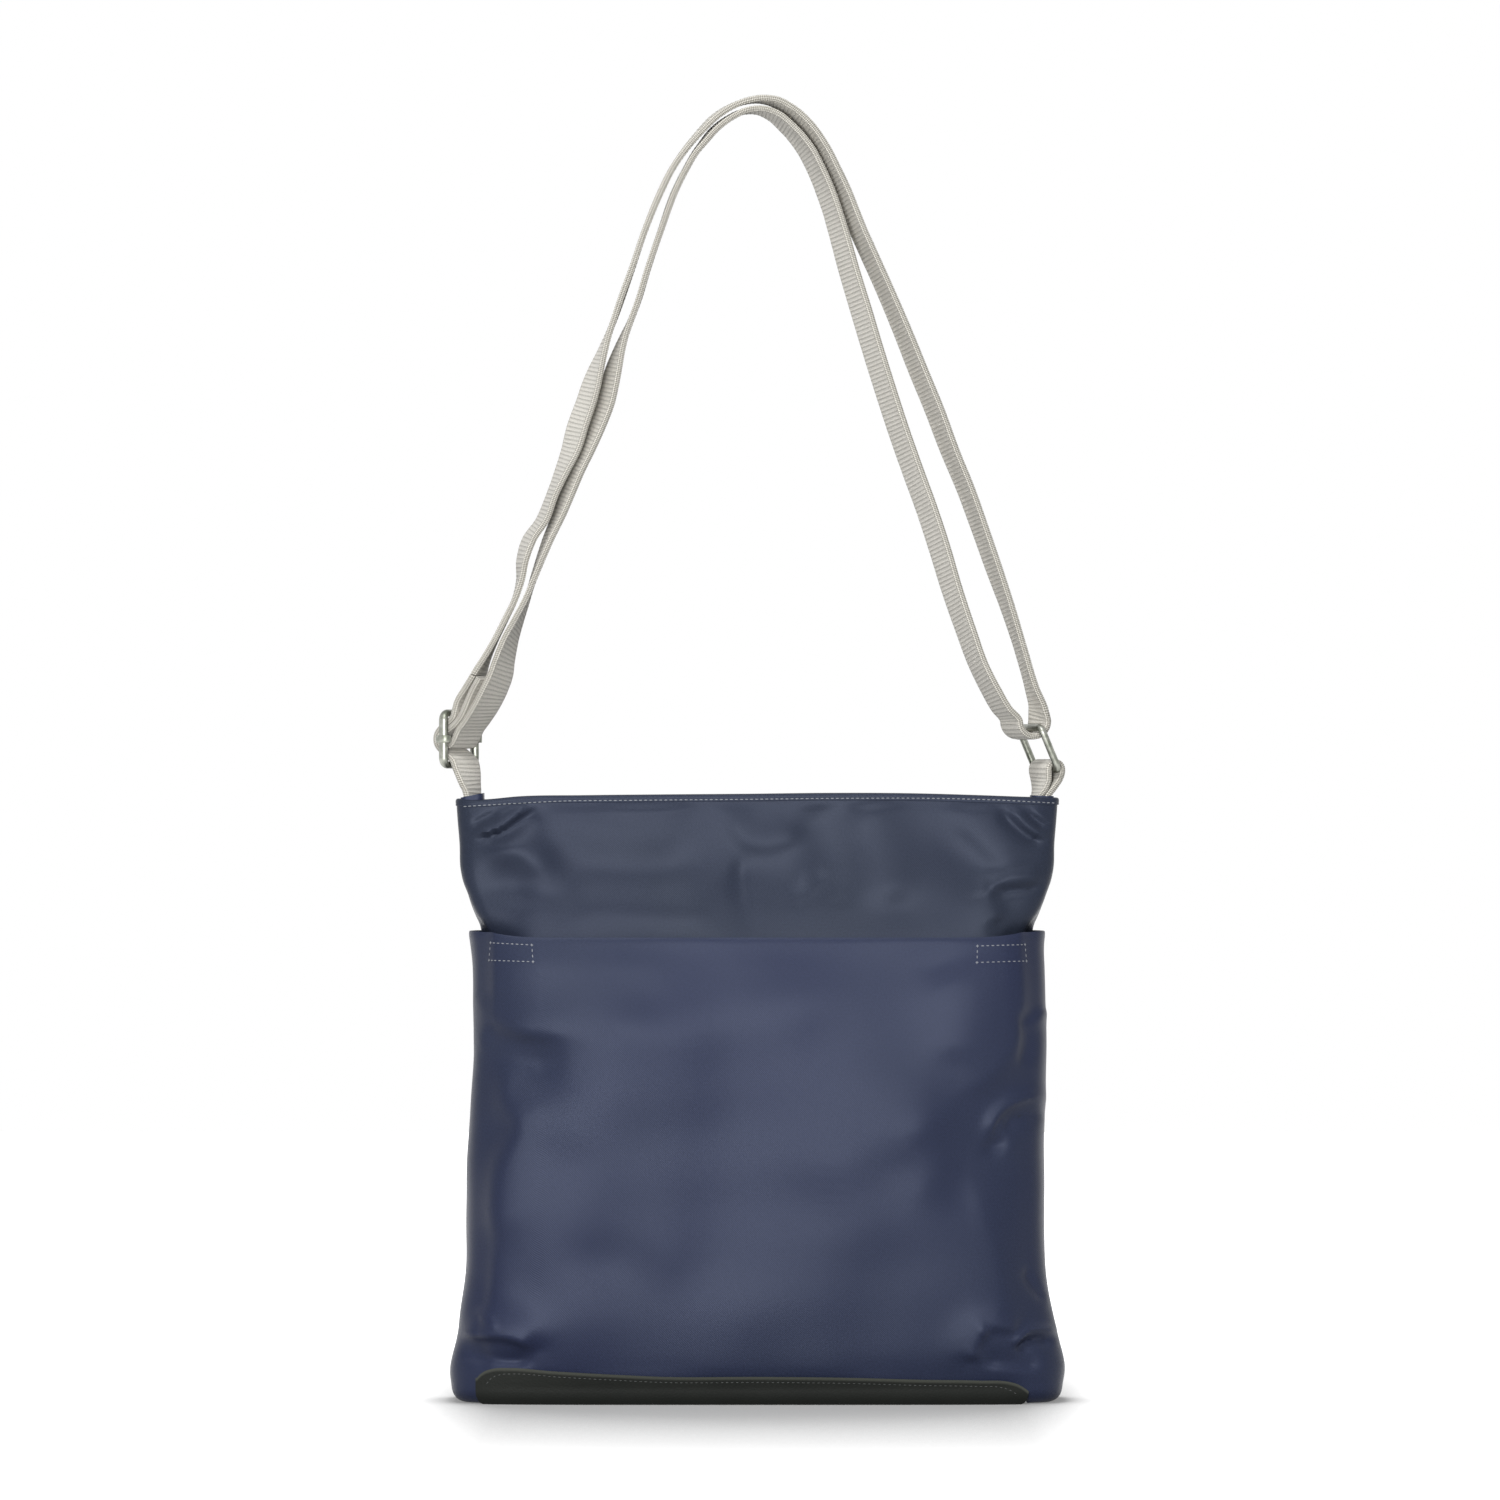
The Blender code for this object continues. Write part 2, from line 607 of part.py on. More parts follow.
# The folded tabs that close the zip's ends, each against the webbing sewn in beside it
END_TABS = (("zip_end_tab_left", -1, TAIL_REACH), ("zip_end_tab_right", 1, TAB_REACH))
for name, side, reach in END_TABS:
    far = reach - GAP
    near = far - END_TAB_CLOTH
    low = BAG_HEIGHT - END_TAB_DROP
    high = BAG_HEIGHT + END_TAB_RISE
    skins = []
    for across in (far, near):
        skins.append([[Vector((side * across, deep, level))
                       for deep in (-END_TAB_HALF_SPAN, END_TAB_HALF_SPAN)]
                      for level in (low, high)])
    sheet(name, skins[0], skins[1], "shell_nylon")


# The hem, in two halves that meet at the middle of each end
def half_ring(side, height, out):
    joint = GAP / half_depth(height)
    limit = seam_depth_share(height)
    half_columns = SIDE_COLUMNS // 2
    points = []
    for share in steps(side * joint, side * limit, half_columns)[:-1]:
        points.append(on_end(share, height, -1, out, out))
    for share in spread(-SEAM_SHARE, SEAM_SHARE, COLUMNS):
        points.append(on_face(share, height, side, out, out))
    for share in steps(side * limit, side * joint, half_columns)[1:]:
        points.append(on_end(share, height, 1, out, out))
    return points


for name, side in (("front_hem", -1), ("back_hem", 1)):
    skins = []
    for out in (0, -HEM_CLOTH):
        skins.append([half_ring(side, level, out) for level in (HEM_FOOT, BAG_HEIGHT)])
    sheet(name, skins[0], skins[1], "shell_nylon")


# The slip pocket's band: the front between the corner seams, and a side pocket at each end
def rim_height(share):
    """The pocket's top edge rises towards the corners."""
    reach = max(0.0, (abs(share) - POCKET_RISE_SHARE) / (1 - POCKET_RISE_SHARE))
    return POCKET_HEIGHT + POCKET_CORNER_RISE * min(1.0, reach) ** 2


def pocket_levels(rim):
    levels = [PANEL_FOOT - GAP]
    levels += [BAG_HEIGHT * share for share in ROW_SHARES if BAG_HEIGHT * share < POCKET_HEIGHT]
    levels.append(rim)
    return levels


def bulge_across(t):
    return 1 - abs(t) ** BULGE_POWER_SHARE


skins = []
for out in (POCKET_EASE + FABRIC, POCKET_EASE):
    columns = []
    for column in range(COLUMNS + 1):
        share = face_columns(POCKET_HEIGHT)[column]
        points = []
        for level in pocket_levels(rim_height(share)):
            here = face_columns(level)[column]
            bulge = FRONT_BULGE * read(FRONT_BULGE_SHARES, level / BAG_HEIGHT)
            bulge *= bulge_across(here / SEAM_SHARE)
            points.append(on_face(here, level, -1, out, out + bulge))
        columns.append(points)
    skins.append(columns)
sheet("front_pocket", skins[0], skins[1], "pocket_nylon")

for name, side in (("side_pocket_left", -1), ("side_pocket_right", 1)):
    skins = []
    for out in (POCKET_EASE + FABRIC, POCKET_EASE):
        columns = []
        for column in range(SIDE_COLUMNS + 1):
            points = []
            for level in pocket_levels(rim_height(1)):
                limit = seam_depth_share(level)
                share = spread(-limit, SIDE_POCKET_BACK_SHARE, SIDE_COLUMNS)[column]
                middle = (SIDE_POCKET_BACK_SHARE - limit) / 2
                reach = (SIDE_POCKET_BACK_SHARE + limit) / 2
                bulge = SIDE_BULGE * read(SIDE_BULGE_SHARES, level / BAG_HEIGHT)
                bulge *= bulge_across((share - middle) / reach)
                points.append(on_end(share, level, side, out + bulge, out))
            columns.append(points)
        skins.append(columns)
    sheet(name, skins[0], skins[1], "pocket_nylon")


# The leather trim: up the pocket's foot in front, under the base, and up the back
ROLLED = FOOT_RADIUS * math.pi / 2
TRIM_TOP = ROLLED + TRIM_LEG - FOOT_TOP
TRIM_FRONT_OUT = POCKET_EASE + FABRIC + GAP
trim_share = TRIM_HALF_LENGTH / (half_width(FOOT_TOP) + GAP)
trim_stations = steps(0, ROLLED, FOOT_STEPS) + steps(ROLLED, TRIM_TOP, 2)[1:]
corner_share = TRIM_CORNER / TRIM_HALF_LENGTH * trim_share
trim_ends = [trim_share - corner_share * (1 - math.sin(angle)) for angle in steps(0, TRIM_TURN)]
trim_columns = [share for share in face_columns(PANEL_FOOT) if abs(share) < trim_ends[0]]
trim_columns = [-share for share in reversed(trim_ends)] + trim_columns + trim_ends


def trim_point(share, length, side, out, under):
    """A point this far along the trim from the flat's edge, round the foot and up the wall."""
    if length > ROLLED:
        point = on_face(share, FOOT_TOP, side, out, out)
        point.z = FOOT_TOP + length - ROLLED
        return point
    angle = (1 - length / ROLLED) * math.pi / 2
    inset = FOOT_RADIUS - (FOOT_RADIUS + out) * math.cos(angle)
    point = on_face(share, FOOT_TOP, side, -inset, -inset)
    point.z = FOOT_TOP - (FOOT_RADIUS + under) * math.sin(angle)
    return point


skins = []
for cloth in (LEATHER, 0):
    columns = []
    for share in trim_columns:
        past = max(0.0, (abs(share) / trim_share - 1) * TRIM_HALF_LENGTH + TRIM_CORNER)
        drop = TRIM_CORNER - math.sqrt(max(0.0, TRIM_CORNER ** 2 - past ** 2))
        part_way = 1 - drop / TRIM_TOP
        points = []
        for side, out in ((-1, TRIM_FRONT_OUT), (1, GAP)):
            leg = [trim_point(share, length * part_way, side, out + cloth, GAP + cloth)
                   for length in trim_stations]
            points += leg[::-1] if side < 0 else leg
        columns.append(points)
    skins.append(columns)
sheet("base_trim", skins[0], skins[1], "base_leather")


# Metal pieces of bent wire
def wire_loop(name, centre, bar_way, up_way, half_span, half_height, corner, origin):
    """A closed rounded rectangle of round wire."""
    out_way = bar_way.cross(up_way).normalized()
    verts = []
    corners = ((1, 1, 0), (-1, 1, 1), (-1, -1, 2), (1, -1, 3))
    for x, y, quarter in corners:
        hub = centre + bar_way * (x * (half_span - corner)) + up_way * (y * (half_height - corner))
        for angle in steps(quarter * math.pi / 2, (quarter + 1) * math.pi / 2, ARC_STEPS - 1):
            bend = bar_way * math.cos(angle) + up_way * math.sin(angle)
            spot = hub + bend * corner
            for k in range(WIRE_SIDES):
                turn = 2 * math.pi * k / WIRE_SIDES
                way = bend * math.cos(turn) + out_way * math.sin(turn)
                verts.append(spot + way * WIRE_RADIUS)
    count = len(verts) // WIRE_SIDES
    faces = []
    for i in range(count):
        for k in range(WIRE_SIDES):
            a = i * WIRE_SIDES + k
            b = i * WIRE_SIDES + (k + 1) % WIRE_SIDES
            c = (i + 1) % count * WIRE_SIDES
            faces.append((a, b, c + (k + 1) % WIRE_SIDES, c + k))
    return add(name, verts, faces, "pewter", origin)


def rod(name, start, end, radius, sides=2 * WIRE_SIDES):
    """A round bar from one point to another."""
    way = (end - start).normalized()
    across = way.orthogonal().normalized()
    other = way.cross(across)
    verts = []
    for spot in (start, end):
        for k in range(sides):
            turn = 2 * math.pi * k / sides
            verts.append(spot + (across * math.cos(turn) + other * math.sin(turn)) * radius)
    faces = [tuple(range(sides)), tuple(range(sides, 2 * sides))]
    for k in range(sides):
        b = (k + 1) % sides
        faces.append((k, b, sides + b, sides + k))
    return add(name, verts, faces, "pewter")


def combine(body, tool, operation):
    """Joins a tool to a body, or cuts it out, and removes the tool."""
    change = body.modifiers.new(operation, "BOOLEAN")
    change.operation = operation
    change.solver = "EXACT"
    change.object = tool
    seen = body.evaluated_get(bpy.context.evaluated_depsgraph_get())
    mesh = bpy.data.meshes.new_from_object(seen)
    body.modifiers.clear()
    body.data = mesh
    bpy.data.objects.remove(tool, do_unlink=True)


collar_bore = WIRE_RADIUS + SLIDE_CLEARANCE
HALF_SPAN = WEB_WIDTH / 2 + GAP + collar_bore + COLLAR_WALL
RING_HALF_SPAN = WEB_WIDTH / 2 + EDGE_CLEARANCE + WIRE_RADIUS
bar_way = edge_way(ADJUSTER_TURN)
upright = Vector((0, 0, 1))
wire_loop("adjuster_frame", ADJUSTER_CENTRE, bar_way, upright, HALF_SPAN,
          ADJUSTER_END_BAR, ADJUSTER_CORNER, ADJUSTER_CENTRE)
wire_loop("ring", RING_CENTRE, ring_bar, ring_up, RING_HALF_SPAN, RING_HALF_HEIGHT,
          RING_CORNER, RING_TOP_BAR)

bar = rod("adjuster_bar", ADJUSTER_CENTRE - bar_way * HALF_SPAN,
          ADJUSTER_CENTRE + bar_way * HALF_SPAN, BAR_RADIUS)
collar_half = upright * (COLLAR_HEIGHT / 2)
for side in (-1, 1):
    middle = ADJUSTER_CENTRE + bar_way * (side * HALF_SPAN)
    combine(bar, rod("collar", middle - collar_half, middle + collar_half,
                     collar_bore + COLLAR_WALL), "UNION")
for side in (-1, 1):
    middle = ADJUSTER_CENTRE + bar_way * (side * HALF_SPAN)
    combine(bar, rod("collar_bore", middle - collar_half * 2, middle + collar_half * 2,
                     collar_bore), "DIFFERENCE")
bar.data.transform(Matrix.Translation(-ADJUSTER_CENTRE))
bar.location = ADJUSTER_CENTRE

# The zip: two tapes, two combs of teeth that mesh, its stops, slider and pull
ZIP_HEIGHT = BAG_HEIGHT - ZIP_DROP
tape_out = -LINING_EASE - LINING_CLOTH - TAPE_EASE
tape_half_width = LINING_MOUTH - LINING_CLOTH - TAPE_EASE
tape_half_depth = half_depth(ZIP_HEIGHT) + tape_out
TAPE_EDGE = SPINE_OUTER + GAP
for name, side in (("zip_tape_front", -1), ("zip_tape_back", 1)):
    skins = []
    for level in (TAPE_CLOTH / 2, -TAPE_CLOTH / 2):
        rows = []
        for edge in (True, False):
            row = []
            for share in spread(-TAPE_END_SHARE, TAPE_END_SHARE, LINING_COLUMNS):
                deep = tape_half_depth * rounding(share, ZIP_HEIGHT) if edge else TAPE_EDGE
                row.append(Vector((share * tape_half_width, side * deep, ZIP_HEIGHT + level)))
            rows.append(row)
        skins.append(rows)
    sheet(name, skins[0], skins[1], "zip_tape")

CHAIN_END = tape_half_width * TAPE_END_SHARE - CHAIN_END_INSET
CHAIN_STOP = CHAIN_END - SLIDER_POST_LENGTH - GAP


def prism(name, outline, low, high, finish):
    """A flat piece cut to an outline, from one level to another."""
    verts = [Vector((x, y, level)) for level in (low, high) for x, y in outline]
    count = len(outline)
    faces = [tuple(range(count)), tuple(range(count, 2 * count))]
    for k in range(count):
        b = (k + 1) % count
        faces.append((k, b, count + b, count + k))
    return add(name, verts, faces, finish, smooth=False)


def comb(name, side, shift):
    """A spine with teeth that reach past the zip's middle between the other comb's teeth."""
    outline = [(CHAIN_STOP, SPINE_OUTER), (-CHAIN_END, SPINE_OUTER), (-CHAIN_END, SPINE_INNER)]
    tooth = -CHAIN_END + TOOTH_PITCH / 2 + shift
    while tooth + TOOTH_WIDTH < CHAIN_STOP:
        low, high = tooth - TOOTH_WIDTH / 2, tooth + TOOTH_WIDTH / 2
        outline += [(low, SPINE_INNER), (low, -TOOTH_REACH)]
        outline += [(high, -TOOTH_REACH), (high, SPINE_INNER)]
        tooth += TOOTH_PITCH
    outline.append((CHAIN_STOP, SPINE_INNER))
    outline = [(x, side * y) for x, y in outline]
    return prism(name, outline, ZIP_HEIGHT - TOOTH_HALF_HEIGHT, ZIP_HEIGHT + TOOTH_HALF_HEIGHT,
                 "zip_teeth")


comb("zip_teeth_front", -1, 0.0)
comb("zip_teeth_back", 1, TOOTH_PITCH / 2)


def block(name, low, high, finish):
    """A box between two corners."""
    skins = []
    for level in (high.z, low.z):
        skins.append([[Vector((x, y, level)) for x in (low.x, high.x)] for y in (low.y, high.y)])
    return sheet(name, skins[0], skins[1], finish)


for name, low_x, low_y, high_y in (
    ("zip_stop_left", -CHAIN_END - GAP - STOP_LENGTH, -SPINE_OUTER, SPINE_OUTER),
    ("zip_stop_right_front", CHAIN_END + GAP, -SPINE_OUTER, -GAP),
    ("zip_stop_right_back", CHAIN_END + GAP, GAP, SPINE_OUTER),
):
    block(name, Vector((low_x, low_y, ZIP_HEIGHT - TOOTH_HALF_HEIGHT)),
          Vector((low_x + STOP_LENGTH, high_y, ZIP_HEIGHT + TOOTH_HALF_HEIGHT)), "pewter")


def plate(name, low, high):
    """The slider's plate: wide over the open shoulder, narrower at its tail."""
    back = CHAIN_END - SLIDER_LENGTH
    outline = [
        (back, SLIDER_NOSE_HALF_WIDTH), (CHAIN_END - SLIDER_POST_LENGTH, SLIDER_HALF_WIDTH),
        (CHAIN_END, SLIDER_NOSE_HALF_WIDTH), (CHAIN_END, -SLIDER_NOSE_HALF_WIDTH),
        (CHAIN_END - SLIDER_POST_LENGTH, -SLIDER_HALF_WIDTH), (back, -SLIDER_NOSE_HALF_WIDTH),
    ]
    return prism(name, outline, low, high, "pewter")


plate_gap = TOOTH_HALF_HEIGHT + GAP
plate_top = ZIP_HEIGHT + plate_gap + SLIDER_PLATE
slider = plate("zip_slider", ZIP_HEIGHT + plate_gap, plate_top)
low_plate = plate("low_plate", ZIP_HEIGHT - plate_gap - SLIDER_PLATE, ZIP_HEIGHT - plate_gap)
combine(slider, low_plate, "UNION")
reach = plate_gap + SLIDER_PLATE / 2
post = block("post", Vector((CHAIN_END - SLIDER_POST_LENGTH, -SLIDER_POST, ZIP_HEIGHT - reach)),
             Vector((CHAIN_END - GAP, SLIDER_POST, ZIP_HEIGHT + reach)), "pewter")
combine(slider, post, "UNION")


def arch(name, centre, radius, wire):
    """A half ring of round wire that stands across the slider, with both feet in its plate."""
    verts = []
    angles = steps(-math.pi / 12, math.pi + math.pi / 12, 2 * ARC_STEPS)
    for angle in angles:
        way = Vector((math.cos(angle), 0, math.sin(angle)))
        for k in range(WIRE_SIDES):
            turn = 2 * math.pi * k / WIRE_SIDES
            side_way = way * math.cos(turn) + Vector((0, math.sin(turn), 0))
            verts.append(centre + way * radius + side_way * wire)
    count = len(angles)
    faces = [tuple(range(WIRE_SIDES)), tuple(range((count - 1) * WIRE_SIDES, count * WIRE_SIDES))]
    for i in range(count - 1):
        for k in range(WIRE_SIDES):
            a = i * WIRE_SIDES + k
            b = i * WIRE_SIDES + (k + 1) % WIRE_SIDES
            faces.append((a, b, b + WIRE_SIDES, a + WIRE_SIDES))
    return add(name, verts, faces, "pewter")


bail_centre = Vector((CHAIN_END - SLIDER_LENGTH / 2, 0, plate_top))
combine(slider, arch("bail", bail_centre, BAIL_RADIUS, BAIL_WIRE), "UNION")
slider.data.transform(Matrix.Translation(-bail_centre))
slider.location = bail_centre

# The pull: a flat tab whose end bar passes through the bail, laid back over the chain
PULL_AXIS = bail_centre + Vector((0, 0, PULL_RISE))
pull_half = PULL_WIDTH / 2
pull_end = PULL_AXIS.x + PULL_BAR / 2
outline = [(pull_end, -pull_half), (pull_end, pull_half)]
for angle in steps(math.pi / 2, 3 * math.pi / 2, 2 * ARC_STEPS):
    across = pull_end - PULL_LENGTH + pull_half + pull_half * math.cos(angle)
    outline.append((across, pull_half * math.sin(angle)))
pull = prism("zip_pull", outline, PULL_AXIS.z - PULL_THICKNESS / 2,
             PULL_AXIS.z + PULL_THICKNESS / 2, "pewter")
eye_half = BAIL_WIRE + PULL_EASE
eye_far = BAIL_RADIUS + BAIL_WIRE + PULL_EASE
eye = block("eye", PULL_AXIS - Vector((eye_far, eye_half, PULL_THICKNESS)),
            PULL_AXIS - Vector((PULL_BAR / 2, -eye_half, -PULL_THICKNESS)), "pewter")
combine(pull, eye, "DIFFERENCE")
pull.data.transform(Matrix.Translation(-PULL_AXIS))
pull.location = PULL_AXIS

# What moves with another piece hangs under it
for child, parent in (("zip_pull", "zip_slider"), ("adjuster_frame", "adjuster_bar"),
                      ("adjuster_bar", "strap_run"), ("ring", "strap_run")):
    piece, carrier = bpy.data.objects[child], bpy.data.objects[parent]
    piece.parent = carrier
    piece.location = piece.location - carrier.location
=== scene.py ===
# %% [markdown]
# A flat crossbody bag of satin nylon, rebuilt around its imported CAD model. The CAD carries the
# sizes and the joints, and every soft or shiny surface here is made anew in the same place, in
# metres, so that it moves with the same bodies.

# %% Load the frame
import math

import bmesh
import bpy
import numpy as np
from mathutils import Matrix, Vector


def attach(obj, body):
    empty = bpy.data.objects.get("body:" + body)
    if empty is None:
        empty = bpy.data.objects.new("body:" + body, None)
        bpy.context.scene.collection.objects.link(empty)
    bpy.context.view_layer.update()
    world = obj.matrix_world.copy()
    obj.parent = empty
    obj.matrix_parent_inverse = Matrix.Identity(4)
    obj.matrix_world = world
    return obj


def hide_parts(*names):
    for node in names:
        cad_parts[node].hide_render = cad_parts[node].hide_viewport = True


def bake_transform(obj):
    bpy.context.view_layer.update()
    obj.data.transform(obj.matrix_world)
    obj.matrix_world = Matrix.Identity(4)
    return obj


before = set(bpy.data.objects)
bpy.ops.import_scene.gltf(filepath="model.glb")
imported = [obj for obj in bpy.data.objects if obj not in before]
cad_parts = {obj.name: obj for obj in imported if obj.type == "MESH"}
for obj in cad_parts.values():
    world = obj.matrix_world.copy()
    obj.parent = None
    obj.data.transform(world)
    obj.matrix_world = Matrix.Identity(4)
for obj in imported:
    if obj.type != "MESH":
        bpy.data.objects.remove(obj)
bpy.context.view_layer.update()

# %% [markdown]
# The photograph looks straight at the front, level with the middle of the picture, through a
# long lens. The camera stands five metres away here, and half a millimetre at the bag is one
# pixel of the 1500 pixel frame, so places read off the picture turn into metres and back.

# %% The camera
PIXEL = 0.0005
CENTRE_COLUMN_PX = 757.0
MOUTH_ROW_PX = 797.0
GROUND_ROW_PX = 1400.0
FRAME_SIDE_PX = 1500.0
EYE_DISTANCE = 5.0
SENSOR_MM = 36.0


def add_object(name, data):
    """Puts an object with this data into the scene."""
    made = bpy.data.objects.new(name, data)
    bpy.context.scene.collection.objects.link(made)
    return made


eye_across = (FRAME_SIDE_PX / 2 - CENTRE_COLUMN_PX) * PIXEL
eye_height = (GROUND_ROW_PX - FRAME_SIDE_PX / 2) * PIXEL
lens = bpy.data.cameras.new("front_camera")
lens.sensor_width = SENSOR_MM
lens.lens = SENSOR_MM * EYE_DISTANCE / (FRAME_SIDE_PX * PIXEL)
camera = add_object("front_camera", lens)
camera.location = (eye_across, -EYE_DISTANCE, eye_height)
camera.rotation_euler = (math.radians(90), 0, 0)
bpy.context.scene.camera = camera
print("lens", lens.lens, "mm")

# %% [markdown]
# Nodes are what gives a surface its colour and texture. Small helpers keep the node trees
# readable: each adds one kind of node and hands back its result, so that a formula reads from
# the inside out, and the last one gives a material its bump and its other values.

# %% Node helpers
CLOTH_UV = "cloth"
TURN = 2 * math.pi


def plug(tree, made, key, value):
    """Gives a socket its value: a number, a colour or the output that feeds it."""
    socket = made.inputs[key]
    if isinstance(value, bpy.types.NodeSocket):
        tree.links.new(value, socket)
    else:
        socket.default_value = (*value, 1) if socket.type == "RGBA" else value


def node(tree, kind, sockets=None, **settings):
    """Adds a node with its settings and the values of its sockets."""
    made = tree.nodes.new(kind)
    for key, value in settings.items():
        setattr(made, key, value)
    for key, value in (sockets or {}).items():
        plug(tree, made, key, value)
    return made


def calc(tree, operation, *values, clamp=False):
    """A Math node's result."""
    return node(tree, "ShaderNodeMath", dict(enumerate(values)), operation=operation,
                use_clamp=clamp).outputs[0]


def remap(tree, value, low=0.0, high=1.0, start=0.0, stop=1.0):
    """Turns start into low and stop into high, and holds the ends."""
    return node(tree, "ShaderNodeMapRange", {"Value": value, "From Min": start, "From Max": stop,
                                             "To Min": low, "To Max": high}).outputs[0]


def mix(tree, share, first, second):
    """A colour between two, by share."""
    return node(tree, "ShaderNodeMix", {0: share, 6: first, 7: second},
                data_type="RGBA").outputs[2]


def scaled(tree, vector, by):
    """A colour or a vector times a number."""
    return node(tree, "ShaderNodeVectorMath", {0: vector, "Scale": by},
                operation="SCALE").outputs[0]


def noise(tree, place, scale, detail=2.0):
    return node(tree, "ShaderNodeTexNoise", {"Vector": place, "Scale": scale,
                                             "Detail": detail}).outputs[0]


def axes(tree, vector):
    return node(tree, "ShaderNodeSeparateXYZ", {0: vector}).outputs


def stripes(tree, uv, across, up):
    """A wave from -1 to 1, with so many waves to a metre across and up the cloth."""
    parts = axes(tree, uv)
    return calc(tree, "SINE", calc(tree, "ADD", calc(tree, "MULTIPLY", parts[0], across * TURN),
                                   calc(tree, "MULTIPLY", parts[1], up * TURN)))


def blank_finish(name):
    """A material, its tree and its Principled shader."""
    material = bpy.data.materials.new(name)
    material.use_nodes = True
    return material, material.node_tree, material.node_tree.nodes["Principled BSDF"]


def object_place(tree):
    return node(tree, "ShaderNodeTexCoord").outputs["Object"]


def cloth_place(tree):
    return node(tree, "ShaderNodeUVMap", uv_map=CLOTH_UV).outputs[0]


def surface(tree, shader, relief, depth, strength, sockets):
    """Gives the shader a bump of this depth and the values of its other sockets."""
    bump = node(tree, "ShaderNodeBump", {"Height": relief, "Distance": depth,
                                         "Strength": strength})
    for key, value in {"Normal": bump.outputs[0], **sockets}.items():
        plug(tree, shader, key, value)


# %% [markdown]
# The floor is white board, and the backdrop is the world's own colour: both show pure white to
# the camera and in reflections, while the light that falls on the bag stays at a plain level.
# The floor keeps a diffuse part, and its glow fades under the bag, so the soft shadow still
# darkens it. Beside the bag the glow is stronger.

# %% Floor, world and lamps
FLOOR_SIZE = 7.0
FLOOR_WHITE = 0.35
# two levels of the floor's glow, and the two distances in metres that they belong to
LIFT_NEAR_FAR, LIFT_REACH = (0.85, 1.05), (0.30, 0.90)
LIFT_BESIDE, BESIDE_SPAN = 1.5, (0.13, 0.17)
SHADE_REACH, SHADE_FLOOR = 0.42, 0.22
SHADE_POWERS, SHADE_SPAN = (4.5, 0.1), (0.12, 0.19)
WORLD_LEVEL = 0.20
WHITE = (1, 1, 1)


def sight(tree):
    """One for camera, glossy and transmission rays, zero for the light that falls on things."""
    path = node(tree, "ShaderNodeLightPath").outputs
    seen = calc(tree, "MAXIMUM", path["Is Camera Ray"], path["Is Glossy Ray"])
    return calc(tree, "MAXIMUM", seen, path["Is Transmission Ray"])


board, tree, shader = blank_finish("white_board")
place = object_place(tree)
reach = node(tree, "ShaderNodeVectorMath", {0: place}, operation="LENGTH").outputs["Value"]
aside = calc(tree, "ABSOLUTE", axes(tree, place)[0])
open_sky = node(tree, "ShaderNodeAmbientOcclusion", {"Distance": SHADE_REACH}).outputs["AO"]
shade = calc(tree, "POWER", open_sky, remap(tree, aside, *SHADE_POWERS, *SHADE_SPAN))
lift = calc(tree, "MULTIPLY", remap(tree, reach, *LIFT_NEAR_FAR, *LIFT_REACH),
            remap(tree, aside, 1.0, LIFT_BESIDE, *BESIDE_SPAN))
lift = calc(tree, "MULTIPLY", lift, calc(tree, "MAXIMUM", shade, SHADE_FLOOR))
for key, value in (("Base Color", (FLOOR_WHITE,) * 3), ("Roughness", 0.9),
                   ("Specular IOR Level", 0.0), ("Emission Color", WHITE),
                   ("Emission Strength", calc(tree, "MULTIPLY", sight(tree), lift))):
    plug(tree, shader, key, value)

half = FLOOR_SIZE / 2
floor_mesh = bpy.data.meshes.new("floor")
floor_mesh.from_pydata([(-half, -half, 0), (half, -half, 0), (half, half, 0), (-half, half, 0)],
                       [], [(0, 1, 2, 3)])
floor_mesh.materials.append(board)
add_object("floor", floor_mesh)

world = bpy.data.worlds.new("studio")
world.use_nodes = True
bpy.context.scene.world = world
sky = world.node_tree
sky.nodes.clear()
level = calc(sky, "MULTIPLY_ADD", sight(sky), 1 - WORLD_LEVEL, WORLD_LEVEL)
glow = node(sky, "ShaderNodeBackground", {"Color": WHITE, "Strength": level})
node(sky, "ShaderNodeOutputWorld", {"Surface": glow.outputs[0]})

# name, place, aim, width, height, watts, spread of the beam in degrees
LAMPS = (
    ("softbox_high", (-0.25, -1.5, 2.1), (0, 0, 0.15), 0.9, 0.7, 34.0, 180),
    ("softbox_front", (-0.32, -2.6, 0.38), (0, 0, 0.2), 0.5, 0.4, 54.0, 180),
    ("fill_left", (-1.6, 0.5, 0.85), (0, 0, 0.58), 0.4, 0.4, 0.12, 20),
    ("fill_right", (1.6, 0.5, 0.85), (0, 0, 0.58), 0.4, 0.4, 0.08, 20),
)
for name, place, aim, width, height, watts, spread in LAMPS:
    lamp_data = bpy.data.lights.new(name, "AREA")
    lamp_data.shape = "RECTANGLE"
    lamp_data.size, lamp_data.size_y = width, height
    lamp_data.energy, lamp_data.spread = watts, math.radians(spread)
    lamp = add_object(name, lamp_data)
    lamp.location = place
    lamp.rotation_euler = (Vector(aim) - Vector(place)).to_track_quat("-Z", "Y").to_euler()
bpy.context.scene.view_settings.view_transform = "Standard"
print(len(LAMPS), "lamps")

# %% [markdown]
# The nylon is a satin twill: fine diagonal lines, a soft even shine, and a colour that wanders a
# little between slate and navy. The lines follow the cloth, so they are drawn on the piece's own
# UV map, whose unit is one metre of cloth.

# %% Cloth finishes
TWILL_PITCH = 0.0011
TWILL_DEPTH = 0.000020
TAPE_DEPTH = 0.00010
THREAD_PITCH = 0.00035
SHINE_TINT = (0.70, 0.78, 1.0)
TWILL_SHADE, THREAD_SHARE, CLOTH_BUMP, DULL_SPREAD = 0.12, 0.5, 0.8, 0.04


